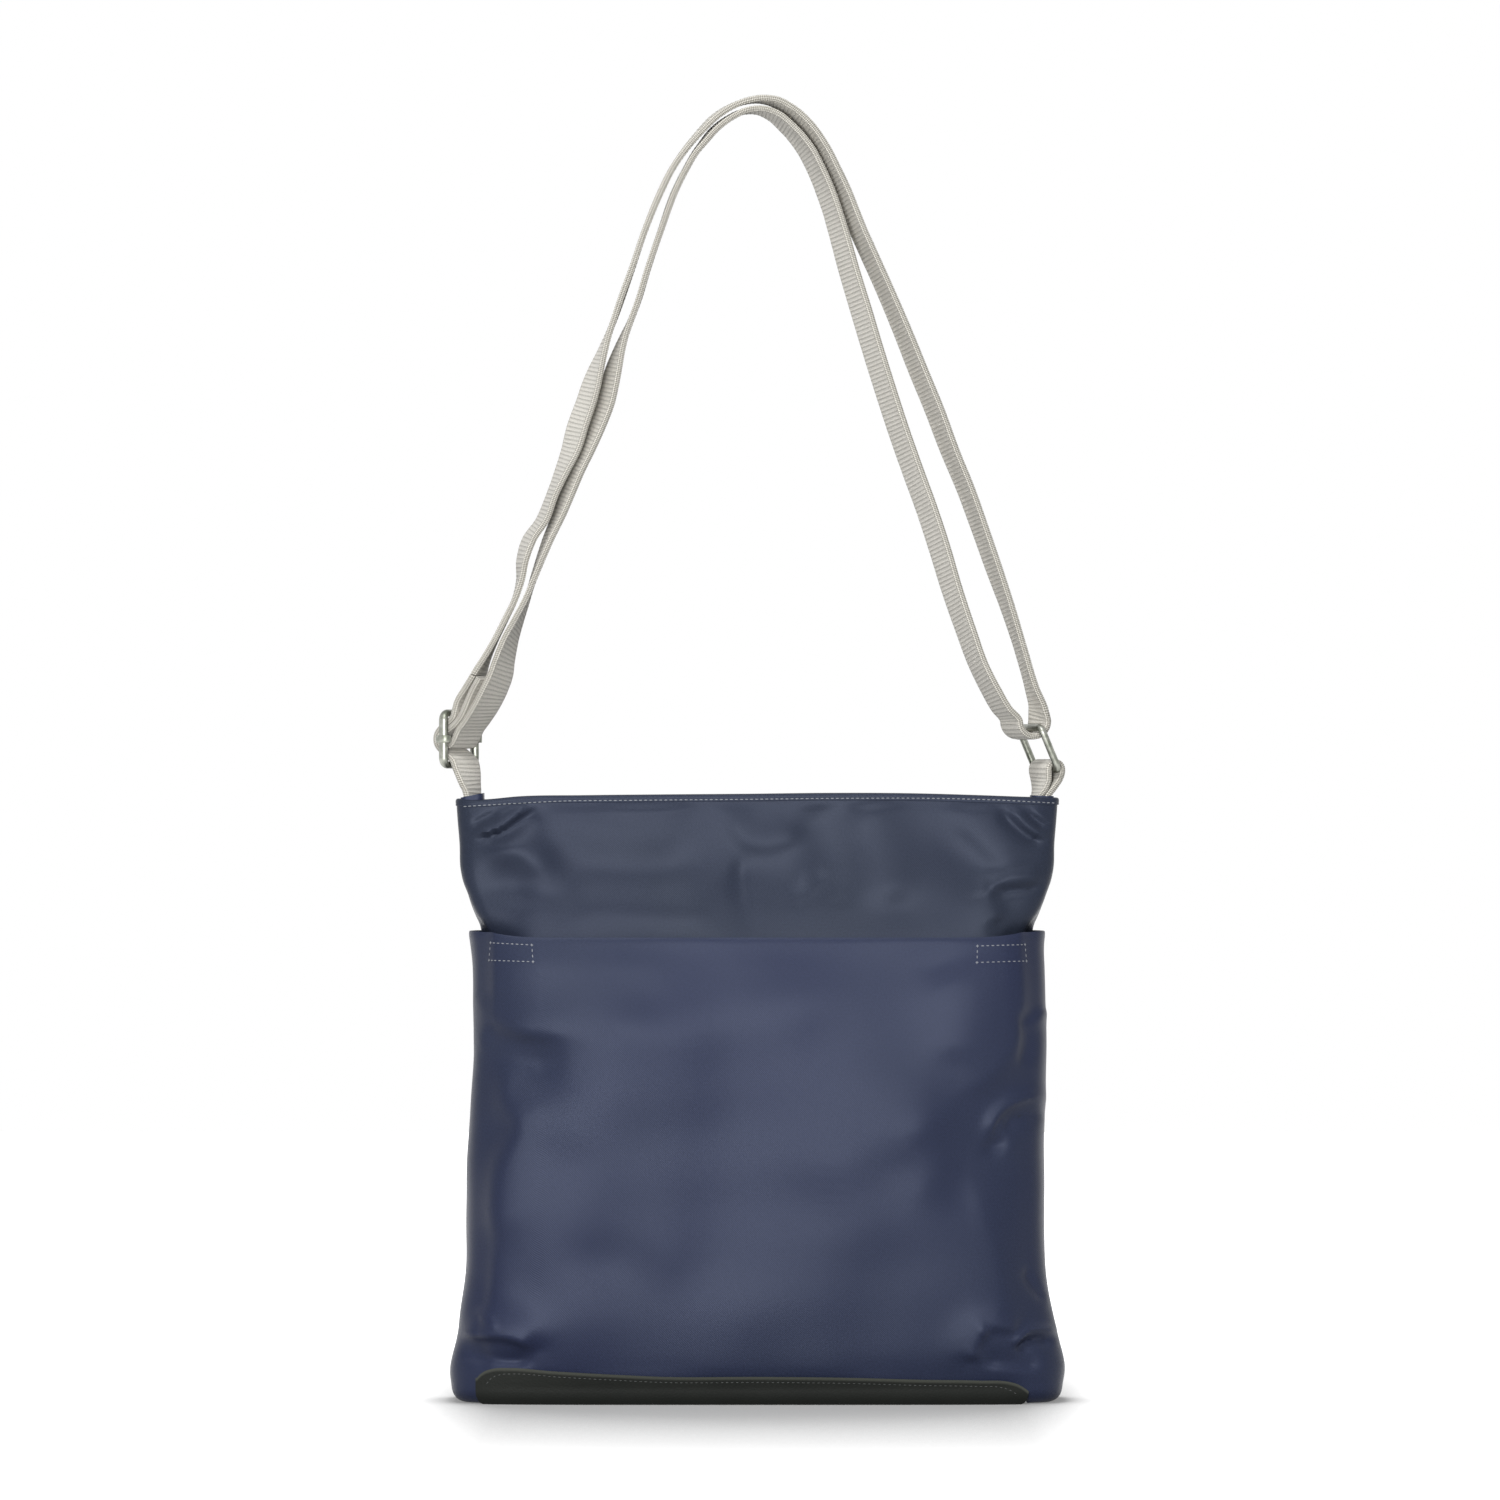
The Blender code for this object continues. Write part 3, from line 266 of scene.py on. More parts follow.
def cloth_finish(name, shade, tint, roughness, gloss, twill):
    """Satin twill: two colours that wander, diagonal lines, and a fine thread grain."""
    material, tree, shader = blank_finish(name)
    place, uv = object_place(tree), cloth_place(tree)
    drift, speck = noise(tree, place, scale=7.0), noise(tree, uv, scale=1100.0)
    lines = stripes(tree, uv, 1 / TWILL_PITCH, 1 / TWILL_PITCH)
    threads = calc(tree, "MULTIPLY", stripes(tree, uv, 1 / THREAD_PITCH, 0), THREAD_SHARE)
    colour = mix(tree, remap(tree, drift, start=0.36, stop=0.64), shade, tint)
    fleck = calc(tree, "MULTIPLY", remap(tree, speck, low=0.55, high=1.45),
                 calc(tree, "MULTIPLY_ADD", lines, TWILL_SHADE, 1.0))
    relief = calc(tree, "ADD", calc(tree, "ADD", lines, threads), speck)
    surface(tree, shader, relief, twill, CLOTH_BUMP, {
        "Base Color": scaled(tree, colour, fleck),
        "Roughness": remap(tree, drift, roughness - DULL_SPREAD, roughness + DULL_SPREAD),
        "Specular IOR Level": gloss, "Specular Tint": SHINE_TINT})
    return material


# name, two colours, roughness, gloss, depth of the twill
CLOTHS = (
    ("slate_nylon", (0.0165, 0.0210, 0.0330), (0.0160, 0.0200, 0.0355), 0.40, 0.20, TWILL_DEPTH),
    ("navy_nylon", (0.0145, 0.0185, 0.0430), (0.0155, 0.0200, 0.0415), 0.40, 0.22, TWILL_DEPTH),
    ("dark_lining", (0.020, 0.022, 0.030), (0.024, 0.026, 0.034), 0.7, 0.2, TWILL_DEPTH),
    ("zip_tape_weave", (0.018, 0.022, 0.040), (0.022, 0.026, 0.044), 0.8, 0.2, TAPE_DEPTH),
)
shell_nylon, pocket_nylon, lining_cloth, tape_cloth = [cloth_finish(*row) for row in CLOTHS]
print("cloth finishes", [row[0] for row in CLOTHS])

# %% [markdown]
# Every soft panel lies on one surface: a rounded rectangle at each height, drawn in at the
# waist and pinched at the mouth. The tables repeat the CAD's own shares, so the cloth stays
# where the solids are. A panel is then a grid of points on that surface, with columns round
# the bag and rows up it, which is easy to push into folds before it becomes a mesh.

# %% The bag's surface
BAG_HEIGHT = 0.3015
BAG_HALF_WIDTH = 0.1505
BAG_HALF_DEPTH = 0.038
FOOT_RADIUS = 0.005
FOOT_TOP = 0.0067
PANEL_FOOT = 0.0082
SEAM_SHARE = 0.955
WIDTH_SHARES = (
    (0.0, 1.0), (0.045, 0.998), (0.066, 0.987), (0.106, 0.963), (0.166, 0.940),
    (0.206, 0.929), (0.325, 0.917), (0.5, 0.910), (0.66, 0.908), (0.77, 0.913),
    (0.789, 0.921), (0.803, 0.934), (0.823, 0.950), (0.842, 0.962), (0.862, 0.975),
    (0.882, 0.983), (0.922, 0.987), (0.962, 0.993), (1.0, 0.998),
)
DEPTH_SHARES = (
    (0.0, 1.0), (0.04, 1.0), (0.1, 0.995), (0.2, 0.972), (0.3, 0.942), (0.4, 0.909),
    (0.5, 0.873), (0.6, 0.834), (0.7, 0.789), (0.77, 0.745), (0.83, 0.674), (0.895, 0.585),
    (0.95, 0.53), (1.0, 0.5),
)
FOOT_SQUARENESS, MOUTH_SQUARENESS = 5.6, 8.0


def smooth_read(table, values):
    """Reads a table on a smooth curve through its points, for a whole array at once."""
    x, y = np.array(table, float).T
    slope = np.gradient(y, x)
    values = np.clip(values, x[0], x[-1])
    i = np.clip(np.searchsorted(x, values) - 1, 0, len(x) - 2)
    span = x[i + 1] - x[i]
    t = (values - x[i]) / span
    return ((1 + 2 * t) * (1 - t) ** 2 * y[i] + t * (1 - t) ** 2 * span * slope[i]
            + t * t * (3 - 2 * t) * y[i + 1] + t * t * (t - 1) * span * slope[i + 1])


def rounding(share, level):
    """The other axis's share where one axis has this share."""
    power = FOOT_SQUARENESS + level / BAG_HEIGHT * (MOUTH_SQUARENESS - FOOT_SQUARENESS)
    return np.maximum(0.0, 1 - np.abs(share) ** power) ** (1 / power)


def on_bag(around, level, out_x=0.0, out_y=0.0):
    """Points of the bag's surface. "around" goes from -1 at the left seam over the front to 1,
    over the right end to 3, over the back to 5 and over the left end to 7."""
    level = np.broadcast_to(level, np.broadcast(around, level).shape)
    around = np.broadcast_to(around, level.shape)
    wide = BAG_HALF_WIDTH * smooth_read(WIDTH_SHARES, level / BAG_HEIGHT) + out_x
    deep = BAG_HALF_DEPTH * smooth_read(DEPTH_SHARES, level / BAG_HEIGHT) + out_y
    panel = np.clip(np.floor((around + 1) / 2), 0, 3)
    t = around - 2 * panel
    side = np.where((panel == 0) | (panel == 3), -1.0, 1.0)
    face_share = t * SEAM_SHARE * -side
    end_share = t * rounding(SEAM_SHARE, level) * side
    facing = panel % 2 == 0
    x = np.where(facing, face_share * wide, side * wide * rounding(end_share, level))
    y = np.where(facing, side * deep * rounding(face_share, level), end_share * deep)
    return np.stack([x, y, level], axis=-1)


def out_of(points, wrap=False):
    """The way out of a grid of points, rows up and columns to the right as seen from outside."""
    if wrap:
        along = np.roll(points, -1, axis=1) - np.roll(points, 1, axis=1)
    else:
        along = np.gradient(points, axis=1)
    normal = np.cross(along, np.gradient(points, axis=0))
    return normal / np.maximum(np.linalg.norm(normal, axis=-1, keepdims=True), 1e-12)


print("half width at mid height", round(float(on_bag(2.0, BAG_HEIGHT / 2)[0]), 4))

# %% [markdown]
# A panel of cloth has two faces and a thin edge, so it is closed like the real one. The grid of
# points gives the outer face, the inner face lies one cloth further in, and a strip of faces
# joins them round the border.


# %% From grids to meshes
def smooth_shade(mesh, angle):
    """Smooth shading, but for edges sharper than this angle in degrees."""
    mesh.shade_smooth()
    mesh.set_sharp_from_angle(angle=math.radians(angle))


def make_piece(name, verts, faces, finish, uv=None, lap=0.0, smooth=40):
    """A mesh piece. "uv" is the cloth's place for each vertex; "lap" is the way once round."""
    mesh = bpy.data.meshes.new(name)
    mesh.from_pydata([tuple(v) for v in np.asarray(verts, float).tolist()], [], faces)
    if uv is not None:
        layer = mesh.uv_layers.new(name=CLOTH_UV)
        corner = np.zeros(len(mesh.loops), np.int32)
        mesh.loops.foreach_get("vertex_index", corner)
        spread_uv = np.asarray(uv, float)[corner]
        if lap:
            first = np.zeros(len(mesh.polygons), np.int32)
            sides = np.zeros(len(mesh.polygons), np.int32)
            mesh.polygons.foreach_get("loop_start", first)
            mesh.polygons.foreach_get("loop_total", sides)
            widest = np.repeat(np.maximum.reduceat(spread_uv[:, 0], first), sides)
            spread_uv[:, 0] += np.where(widest - spread_uv[:, 0] > lap / 2, lap, 0.0)
        layer.data.foreach_set("uv", spread_uv.astype(np.float32).ravel())
    mesh.materials.append(finish)
    mesh.validate()
    smooth_shade(mesh, smooth)
    return add_object(name, mesh)


def fit(piece, slot, body_name, *old):
    if old:
        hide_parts(*old)
    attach(piece, body_name)
    print(piece.name, len(piece.data.polygons), "faces, on", body_name)
    return piece


def cloth_uv(points, wrap=False):
    """How far round and up the cloth each point of a grid lies, in metres, and the lap."""
    step = np.linalg.norm(np.diff(points, axis=1), axis=-1).mean(axis=0)
    u = np.concatenate([[0], np.cumsum(step)])
    v = np.concatenate([np.zeros((1, points.shape[1])),
                        np.cumsum(np.linalg.norm(np.diff(points, axis=0), axis=-1), axis=0)])
    uv = np.stack([np.broadcast_to(u, v.shape), v], axis=-1).reshape(-1, 2)
    return uv, float(u[-1] + step[-1]) if wrap else 0.0


def quads(rows, columns, round_columns=False, round_rows=False):
    """The faces of a grid of points, which may close round its columns and its rows."""
    i, j = np.meshgrid(np.arange(rows if round_rows else rows - 1),
                       np.arange(columns if round_columns else columns - 1), indexing="ij")
    low, high = i.ravel() * columns, (i.ravel() + 1) % rows * columns
    left, right = j.ravel(), (j.ravel() + 1) % columns
    return np.stack([low + left, low + right, high + right, high + left], axis=1)


def cloth_panel(name, outer, inner, finish, wrap=False, cap=False):
    """A closed panel between two grids. With wrap it goes right round; cap closes its foot."""
    rows, columns = outer.shape[:2]
    uv, lap = cloth_uv(outer, wrap)
    half = rows * columns
    faces = quads(rows, columns, wrap)
    faces = faces.tolist() + (faces[:, ::-1] + half).tolist()
    foot = [(k, (k + 1) % columns) for k in range(columns if wrap else columns - 1)]
    if cap:
        faces.append(list(range(columns))[::-1])
        faces.append([half + k for k in range(columns)])
    else:
        faces += [(p, half + p, half + q, q) for p, q in foot]
    top = (rows - 1) * columns
    faces += [(top + q, half + top + q, half + top + p, top + p) for p, q in foot]
    if not wrap:
        for k in range(rows - 1):
            left, right = k * columns, k * columns + columns - 1
            faces.append((left, left + columns, half + left + columns, half + left))
            faces.append((right, half + right, half + right + columns, right + columns))
    verts = np.concatenate([outer.reshape(-1, 3), inner.reshape(-1, 3)])
    return make_piece(name, verts, faces, finish, np.concatenate([uv] * 2), lap)


# %% [markdown]
# Folds are what make flat nylon read as cloth. Each one is a short line on the picture with a
# height, two reaches and a fade: a crease is steep on one side and runs out gently on the other,
# and it dies away over the fade's share of the line at both ends. The lines below were read off
# the photograph, and every point of a panel is pushed out or in by how near it comes to them.


# %% Fold helpers
FELT_REACHES = 2.6
NEAR_PX, NEAR_POWER = 2.0, 4
WAVES, WAVE_SIZES = 7, (0.7, 1.6)


def seen_at(points):
    """Where the camera sees each point, in pixels of the 1500 pixel frame."""
    depth = points[..., 1] + EYE_DISTANCE
    scale = EYE_DISTANCE / PIXEL / depth
    return np.stack([FRAME_SIDE_PX / 2 + (points[..., 0] - eye_across) * scale,
                     FRAME_SIDE_PX / 2 - (points[..., 2] - eye_height) * scale], axis=-1)


def ease(t):
    t = np.clip(t, 0.0, 1.0)
    return t * t * (3 - 2 * t)


def rising(value, start, span):
    """0 up to start, 1 from start plus span on."""
    return ease((value - start) / span)


def falling(value, stop, span):
    """1 up to stop minus span, 0 from stop on."""
    return ease((stop - value) / span)


def travel(points):
    """How far along a line each of its points lies."""
    return np.concatenate([[0], np.cumsum(np.linalg.norm(np.diff(points, axis=0), axis=1))])


def curve_through(stations, count=28, space=None):
    """Points evenly spread on a smooth curve through the given ones. "space" is how many of
    their numbers are places; the rest are carried along."""
    stations = np.array(stations, float)
    place = travel(stations[:, :space])
    at = np.linspace(0, place[-1], count)
    return np.stack([smooth_read(np.stack([place, column], axis=1), at)
                     for column in stations.T], axis=1)


def fold(spots, line, rise_mm, left_px, right_px, fade=0.25):
    """A fold's push at each spot, in metres. Left and right are seen when going along the line."""
    path = curve_through(line)
    far = FELT_REACHES * max(left_px, right_px)
    close = ((spots > path.min(axis=0) - far) & (spots < path.max(axis=0) + far)).all(axis=-1)
    start, way = path[:-1], np.diff(path, axis=0)
    gap = spots[close][:, None] - start
    t = np.clip((gap * way).sum(-1) / (way ** 2).sum(-1), 0, 1)
    gap = gap - t[..., None] * way
    distance = np.linalg.norm(gap, axis=-1)
    right = way[:, 0] * gap[..., 1] - way[:, 1] * gap[..., 0] > 0
    share = (np.arange(len(way)) + t) / len(way)
    rise = np.exp(-(distance / np.where(right, right_px, left_px)) ** 2)
    rise *= ease(share / fade) * ease((1 - share) / fade)
    near = (distance ** 2 + NEAR_PX ** 2) ** -NEAR_POWER
    push = np.zeros(spots.shape[:-1])
    push[close] = (rise * near).sum(axis=1) / near.sum(axis=1)
    return push * rise_mm / 1000


def folds(spots, table):
    return sum(fold(spots, *row) for row in table)


def crowded(t, share):
    """Steps from 0 to 1 that lie closer together at both ends."""
    return (1 - share) * t + share * (1 - np.cos(math.pi * t)) / 2


def billow(points, size, seed, depth):
    """Soft uneven hollows: a few long waves with fixed directions."""
    rng = np.random.default_rng(seed)
    total = np.zeros(points.shape[:-1])
    for _ in range(WAVES):
        way = rng.normal(size=3)
        way *= TURN / (size * rng.uniform(*WAVE_SIZES)) / np.linalg.norm(way)
        total += np.sin(points @ way + rng.uniform(0, TURN))
    return total * depth / WAVES


# %% [markdown]
# The body is one lofted sack, from the flat underside up to the mouth. Behind the pocket it is
# hidden, so its rows are wide there and close together above the pocket, where the folds show.

# %% The body
CLOTH = 0.0012
SHELL_TOP = 0.2990
HIDDEN_TOP = 0.222
FACE_COLUMNS, END_COLUMNS, BACK_COLUMNS = 150, 20, 96
HIDDEN_ROWS, SHOWN_ROWS, FIRST_ROW = 34, 56, 0.004
# heights in metres and the way over which each limit fades in
HOLD_TOP, HOLD_FOOT = (0.2985, 0.006), (0.205, 0.02)
SOFT_TOP, SOFT_FOOT = (0.297, 0.03), (0.012, 0.03)
FRONT_FROM, RIM_FROM = (0.002, 0.008), (0.25, 0.045)
# size, seed and depth of the hollows, and how much of the long ones the front loses
LONG_WAVES, SHORT_WAVES, FRONT_CALM = (0.11, 3, 0.0032), (0.045, 5, 0.0008), 0.6


def around_bag():
    """Columns once round the bag, closer together at the corners."""
    columns = []
    for low, count in ((-1, FACE_COLUMNS), (1, END_COLUMNS), (3, BACK_COLUMNS), (5, END_COLUMNS)):
        t = np.arange(count) / count
        columns.append(low + 2 * crowded(t, 0.4))
    return np.concatenate(columns)


def foot_rows(around, out, count=5, most=math.pi / 2):
    """The rounded foot, from the flat underside up to the wall."""
    rows = []
    for k in range(count + 1):
        angle = most * (1 - k / count)
        inset = FOOT_RADIUS - (FOOT_RADIUS + out) * math.cos(angle)
        row = on_bag(around, FOOT_TOP, -inset, -inset)
        row[:, 2] = FOOT_TOP - (FOOT_RADIUS + out) * math.sin(angle)
        rows.append(row)
    return rows


# line on the picture, rise in mm, reach to the left and to the right of the line, fade
UPPER_FOLDS = (
    (((468, 834), (486, 839), (504, 847), (523, 853), (535, 861), (545, 871), (551, 884),
      (553, 902)), 3.8, 24, 18, 0.4),
    (((460, 884), (480, 885), (500, 888), (520, 893), (536, 901), (545, 912)), -2.6, 22, 22, 0.45),
    (((462, 944), (492, 945), (528, 950)), -5.5, 27, 20, 0.4),
    (((467, 832), (480, 831), (495, 828), (508, 821), (520, 813), (534, 805)), 2.0, 9, 3.5),
    (((474, 839), (490, 835), (504, 832), (518, 823), (529, 815), (542, 805)), -2.0, 4, 12),
    (((470, 823), (480, 818), (490, 813), (500, 809)), -1.2, 3, 5),
    (((518, 838), (545, 854), (575, 866), (610, 872), (650, 872), (710, 868)), -1.9, 34, 34),
    (((526, 816), (570, 826), (620, 832), (706, 830)), 1.0, 26, 26),
    (((560, 904), (640, 914), (730, 920)), 1.8, 30, 24),
    (((714, 829), (728, 825), (737, 830), (747, 841), (761, 845), (785, 841), (808, 830)),
     1.3, 20, 11),
    (((728, 862), (745, 872), (772, 880), (806, 876)), -1.4, 28, 24),
    (((734, 830), (741, 866), (745, 900), (750, 944)), -1.3, 6, 16, 0.5),
    (((830, 872), (808, 890), (790, 906)), -0.8, 8, 12),
    (((936, 799), (965, 825), (984, 841), (1002, 855), (1020, 867), (1038, 875)),
     2.3, 36, 20, 0.4),
    (((932, 812), (953, 835), (970, 855), (986, 869), (1004, 877), (1024, 880)),
     -2.1, 20, 34, 0.45),
    (((1006, 803), (1020, 818), (1034, 831), (1052, 838)), 1.3, 6, 4),
    (((998, 805), (1012, 824), (1028, 836), (1050, 845)), -2.0, 4, 7),
    (((1025, 810), (1036, 820), (1047, 830)), -1.5, 3.5, 4),
    (((1030, 807), (1041, 816), (1052, 825)), 0.9, 4, 3),
    (((980, 896), (990, 887), (1006, 880), (1025, 877), (1048, 874)), 2.0, 12, 8),
    (((988, 893), (1012, 891), (1046, 887)), -1.6, 5, 5),
    (((983, 888), (989, 904), (994, 914), (1000, 924)), 1.8, 12, 26),
    (((990, 950), (1024, 945), (1056, 944)), -5.5, 27, 20, 0.4),
    (((860, 796), (880, 850), (900, 912)), 2.2, 34, 30),
    (((806, 800), (828, 850), (842, 912)), -1.6, 26, 26),
    (((590, 800), (640, 808), (704, 802)), 1.0, 8, 14),
)
MOUTH_EDGE_PX = (
    (440, 798.8), (459, 798.6), (470, 799.8), (485, 799.4), (517, 796.5), (583, 795.3),
    (665, 794.5), (746, 793.9), (827, 793), (914, 793.4), (979, 795.2), (1031, 797),
    (1060, 797.5), (1080, 797.5),
)
around = around_bag()


def body_grid(out):
    levels = (*np.linspace(PANEL_FOOT + FIRST_ROW, HIDDEN_TOP, HIDDEN_ROWS),
              *np.linspace(HIDDEN_TOP, SHELL_TOP, SHOWN_ROWS)[1:])
    return np.stack(foot_rows(around, out) + [on_bag(around, z, out, out) for z in levels])


def mouth_rise(x):
    """How far the mouth's edge stands above its plain level, highest right of the middle."""
    row = smooth_read(MOUTH_EDGE_PX, x / PIXEL + CENTRE_COLUMN_PX)
    return (MOUTH_ROW_PX - row) * PIXEL


def press_body(points):
    """Pushes the body's grid into its folds and hollows."""
    normal = out_of(points, wrap=True)
    level = points[..., 2]
    front = rising(-points[..., 1], *FRONT_FROM)
    held = falling(level, *HOLD_TOP) * rising(level, *HOLD_FOOT)
    push = folds(seen_at(points), UPPER_FOLDS) * front * held
    soft = falling(level, *SOFT_TOP) * rising(level, *SOFT_FOOT)
    push += billow(points, *LONG_WAVES) * soft * (1 - FRONT_CALM * front)
    push += billow(points, *SHORT_WAVES) * soft
    points = points + normal * push[..., None]
    points[..., 2] += mouth_rise(points[..., 0]) * rising(level, *RIM_FROM)
    return points


skin = body_grid(0.0)
pressed = press_body(skin)
shift = pressed - skin
body = cloth_panel("body_sack", pressed, body_grid(-CLOTH) + shift, shell_nylon, wrap=True,
                   cap=True)
fit(body, "shell_nylon", "bag", "front_panel", "back_panel", "side_gusset_left",
    "side_gusset_right", "bottom_panel")

# %% [markdown]
# The lining is the body's own grid further in, with the same folds, up to under the zip.

# %% The lining
LINING_EASE = 0.0022
LINING_CLOTH = 0.0008
LINING_TOP = 0.2925

kept = skin[:, 0, 2] < LINING_TOP
lining = cloth_panel("lining_sack", (body_grid(-LINING_EASE) + shift)[kept],
                     (body_grid(-LINING_EASE - LINING_CLOTH) + shift)[kept], lining_cloth,
                     wrap=True, cap=True)
fit(lining, "lining_cloth", "bag", "lining")

# %% [markdown]
# The mouth is bound with a narrow hem: the cloth is turned over a tape and stitched down, which
# gives it a full round edge. Its section is a rounded strip, swept once round the mouth.

# %% The hem
HEM_DEPTH = 0.0036
HEM_THICKNESS = 0.0021
HEM_PROUD = 0.0004
HEM_WAVES = (0.06, 9, 0.0004)
HEM_SECTION = (
    # share of the thickness inwards, share of the depth down
    (0.00, 1.00), (-0.06, 0.93), (-0.08, 0.80), (-0.02, 0.72), (-0.06, 0.62), (-0.08, 0.40),
    (-0.02, 0.18), (0.16, 0.05), (0.42, 0.00), (0.70, 0.06), (0.90, 0.20), (1.00, 0.45),
    (1.00, 1.00),
)

mouth = on_bag(around, BAG_HEIGHT - 0.001)
inward = -out_of(np.stack([mouth, mouth + np.array([0, 0, 0.001])]), wrap=True)[0]
wobble = billow(mouth, *HEM_WAVES)[:, None]
rings = []
for inner, down in HEM_SECTION:
    ring = mouth + inward * (inner * HEM_THICKNESS - HEM_PROUD + wobble)
    ring[:, 2] = BAG_HEIGHT + mouth_rise(mouth[:, 0]) - down * HEM_DEPTH
    rings.append(ring)
rings = np.stack(rings)
hem = make_piece("mouth_hem", rings.reshape(-1, 3),
                 quads(*rings.shape[:2], round_columns=True, round_rows=True).tolist(),
                 shell_nylon, *cloth_uv(rings, True), smooth=60)
fit(hem, "shell_nylon", "bag", "front_hem", "back_hem")

# %% [markdown]
# The slip pocket is one band of the bluer nylon that wraps from the back of the left end over
# the front to the back of the right end. It stands off the body, fuller towards its foot, and
# its shoulders wander: where cloth is slack, the flat of the front ends early and slopes away.

# %% The pocket
POCKET_HEIGHT = 0.232
POCKET_EASE = 0.0005
LEATHER = 0.0014
GAP = 0.0003
CORNER_RISE = 0.004
FRONT_BULGE = 0.009
FRONT_BULGE_SHARES = (
    (0.0, 0.0), (0.022, 0.0), (0.027, 0.02), (0.04, 0.13), (0.06, 0.29), (0.08, 0.42),
    (0.1, 0.515), (0.13, 0.62), (0.17, 0.71), (0.22, 0.79), (0.3, 0.88), (0.4, 0.96), (0.5, 1.0),
    (0.62, 0.98), (0.72, 0.9), (0.77, 0.85), (0.8, 0.82),
)
SIDE_BULGE = 0.0048
SIDE_BULGE_SHARES = (
    (0.0, 0.0), (0.022, 0.0), (0.035, 0.1), (0.05, 0.27), (0.07, 0.46), (0.11, 0.66), (0.17, 0.88),
    (0.25, 0.96), (0.5, 0.96), (0.66, 0.92), (0.77, 1.0), (0.8, 0.9),
)
# row on the picture, column where the flat of the front ends
LEFT_SHOULDER = (
    (930, 492), (1000, 492), (1022, 496), (1032, 530), (1040, 568), (1048, 556), (1060, 540),
    (1070, 516), (1086, 505), (1102, 506), (1116, 520), (1132, 521), (1159, 507), (1185, 500),
    (1215, 498), (1238, 501), (1258, 496), (1300, 492), (1345, 490), (1400, 490),
)
RIGHT_SHOULDER = (
    (930, 1022), (1000, 1022), (1050, 1012), (1080, 985), (1098, 955), (1116, 938),
    (1130, 915), (1148, 908), (1164, 930), (1180, 962), (1220, 985), (1300, 1002),
    (1345, 1000), (1400, 1000),
)
SHOULDER_SHARE = 0.6
# columns, left and right, where the slopes start and where their length is measured from
SLOPE_STARTS_PX, SLOPE_BASES_PX, SLOPE_LEAST_PX = (482, 1032), (480, 1034), 6
SLOPE_EASE = 0.92
FACE_ROUNDNESS, END_ROUNDNESS = 4, 2.5
WRAP_SHARE = 0.87
WRAP_COLUMNS, POCKET_COLUMNS = 40, 190
POCKET_ROWS = ((0, 0.12, 24), (0.12, 0.98, 118), (0.98, 1.0, 6))
POCKET_FOOT_TURN = math.radians(82)
RIM_CORNER = (0.78, 0.22)
RIM_ROLL = ((0, 0.988, 0.996, 1.0), (0, 0, 0.15, 0.42))
RIM_HOLD, FOOT_HOLD, FACING = 0.02, 0.012, (-0.35, 0.6)
POCKET_LONG_WAVES, POCKET_SHORT_WAVES = (0.10, 12, 0.0026), (0.04, 14, 0.0008)
SOFTEN_ROUNDS = 8
TRIM_REACH, STAND_OFF = 0.134, 0.0004
POCKET_FOLDS = (
    (((474, 1026), (520, 1029), (560, 1032), (604, 1036)), 2.3, 38, 18, 0.45),
    (((496, 1090), (509, 1079), (523, 1069), (553, 1060), (574, 1053)), -3.0, 18, 30, 0.45),
    (((498, 1086), (509, 1107), (521, 1120), (521, 1133), (512, 1151), (503, 1165), (498, 1190),
      (497, 1215), (500, 1256)), 2.5, 50, 18),
    (((481, 988), (484, 1010), (485, 1030), (478, 1054)), 1.3, 7, 8),
    (((520, 1250), (590, 1258), (680, 1262)), -1.7, 34, 32, 0.5),
    (((620, 1262), (680, 1320), (706, 1390)), -1.0, 50, 56, 0.5),
    (((458, 1331), (480, 1335), (501, 1335), (521, 1340), (531, 1346), (537, 1354)), 4.0, 30, 6),
    (((456, 1352), (490, 1359), (515, 1361), (538, 1357)), -2.4, 10, 7),
    (((478, 1306), (490, 1318), (501, 1330)), 0.8, 5, 4),
    (((988, 1143), (992, 1126), (1001, 1112), (1016, 1102), (1032, 1098), (1048, 1104)),
     2.2, 9, 4),
    (((1002, 1130), (1013, 1120), (1028, 1114), (1046, 1119)), -1.8, 7, 10),
    (((991, 1139), (1001, 1126), (1013, 1114)), 0.6, 3, 3, 0.5),
    (((979, 1143), (990, 1147), (1000, 1145), (1012, 1139)), -1.8, 8, 7, 0.45),
    (((990, 1154), (1008, 1146), (1026, 1142)), 0.7, 8, 18, 0.5),
    (((966, 1098), (944, 1110), (924, 1122), (911, 1133), (904, 1150), (898, 1176)),
     2.9, 36, 54, 0.5),
    (((918, 1186), (945, 1194), (972, 1190), (998, 1172)), -2.0, 40, 40, 0.5),
    (((1024, 1030), (1033, 1019), (1042, 1006)), 1.3, 4, 8),
    (((1020, 1006), (1025, 1040), (1021, 1070)), -1.6, 9, 6),
    (((1024, 1266), (1034, 1284), (1048, 1302)), -1.6, 4, 7),
    (((1010, 1349), (1018, 1339), (1026, 1332), (1040, 1330), (1056, 1333)), 2.2, 6, 3),
    (((1014, 1353), (1024, 1343), (1036, 1339), (1054, 1342)), -2.4, 3, 9),
    (((974, 1333), (990, 1326), (1004, 1326), (1020, 1330)), 2.0, 18, 6),
    (((988, 1326), (975, 1344), (972, 1364)), 2.2, 7, 28),
    (((978, 1361), (1010, 1363), (1044, 1366)), -2.0, 16, 6),
    (((800, 940), (822, 1040), (840, 1100), (834, 1180), (830, 1230)), 2.2, 60, 64),
    (((690, 1010), (726, 1160), (720, 1310)), -0.9, 60, 56),
    (((552, 1170), (590, 1110), (650, 990)), 2.2, 54, 64),
    (((940, 960), (960, 1010), (950, 1070)), 1.6, 46, 40),
)


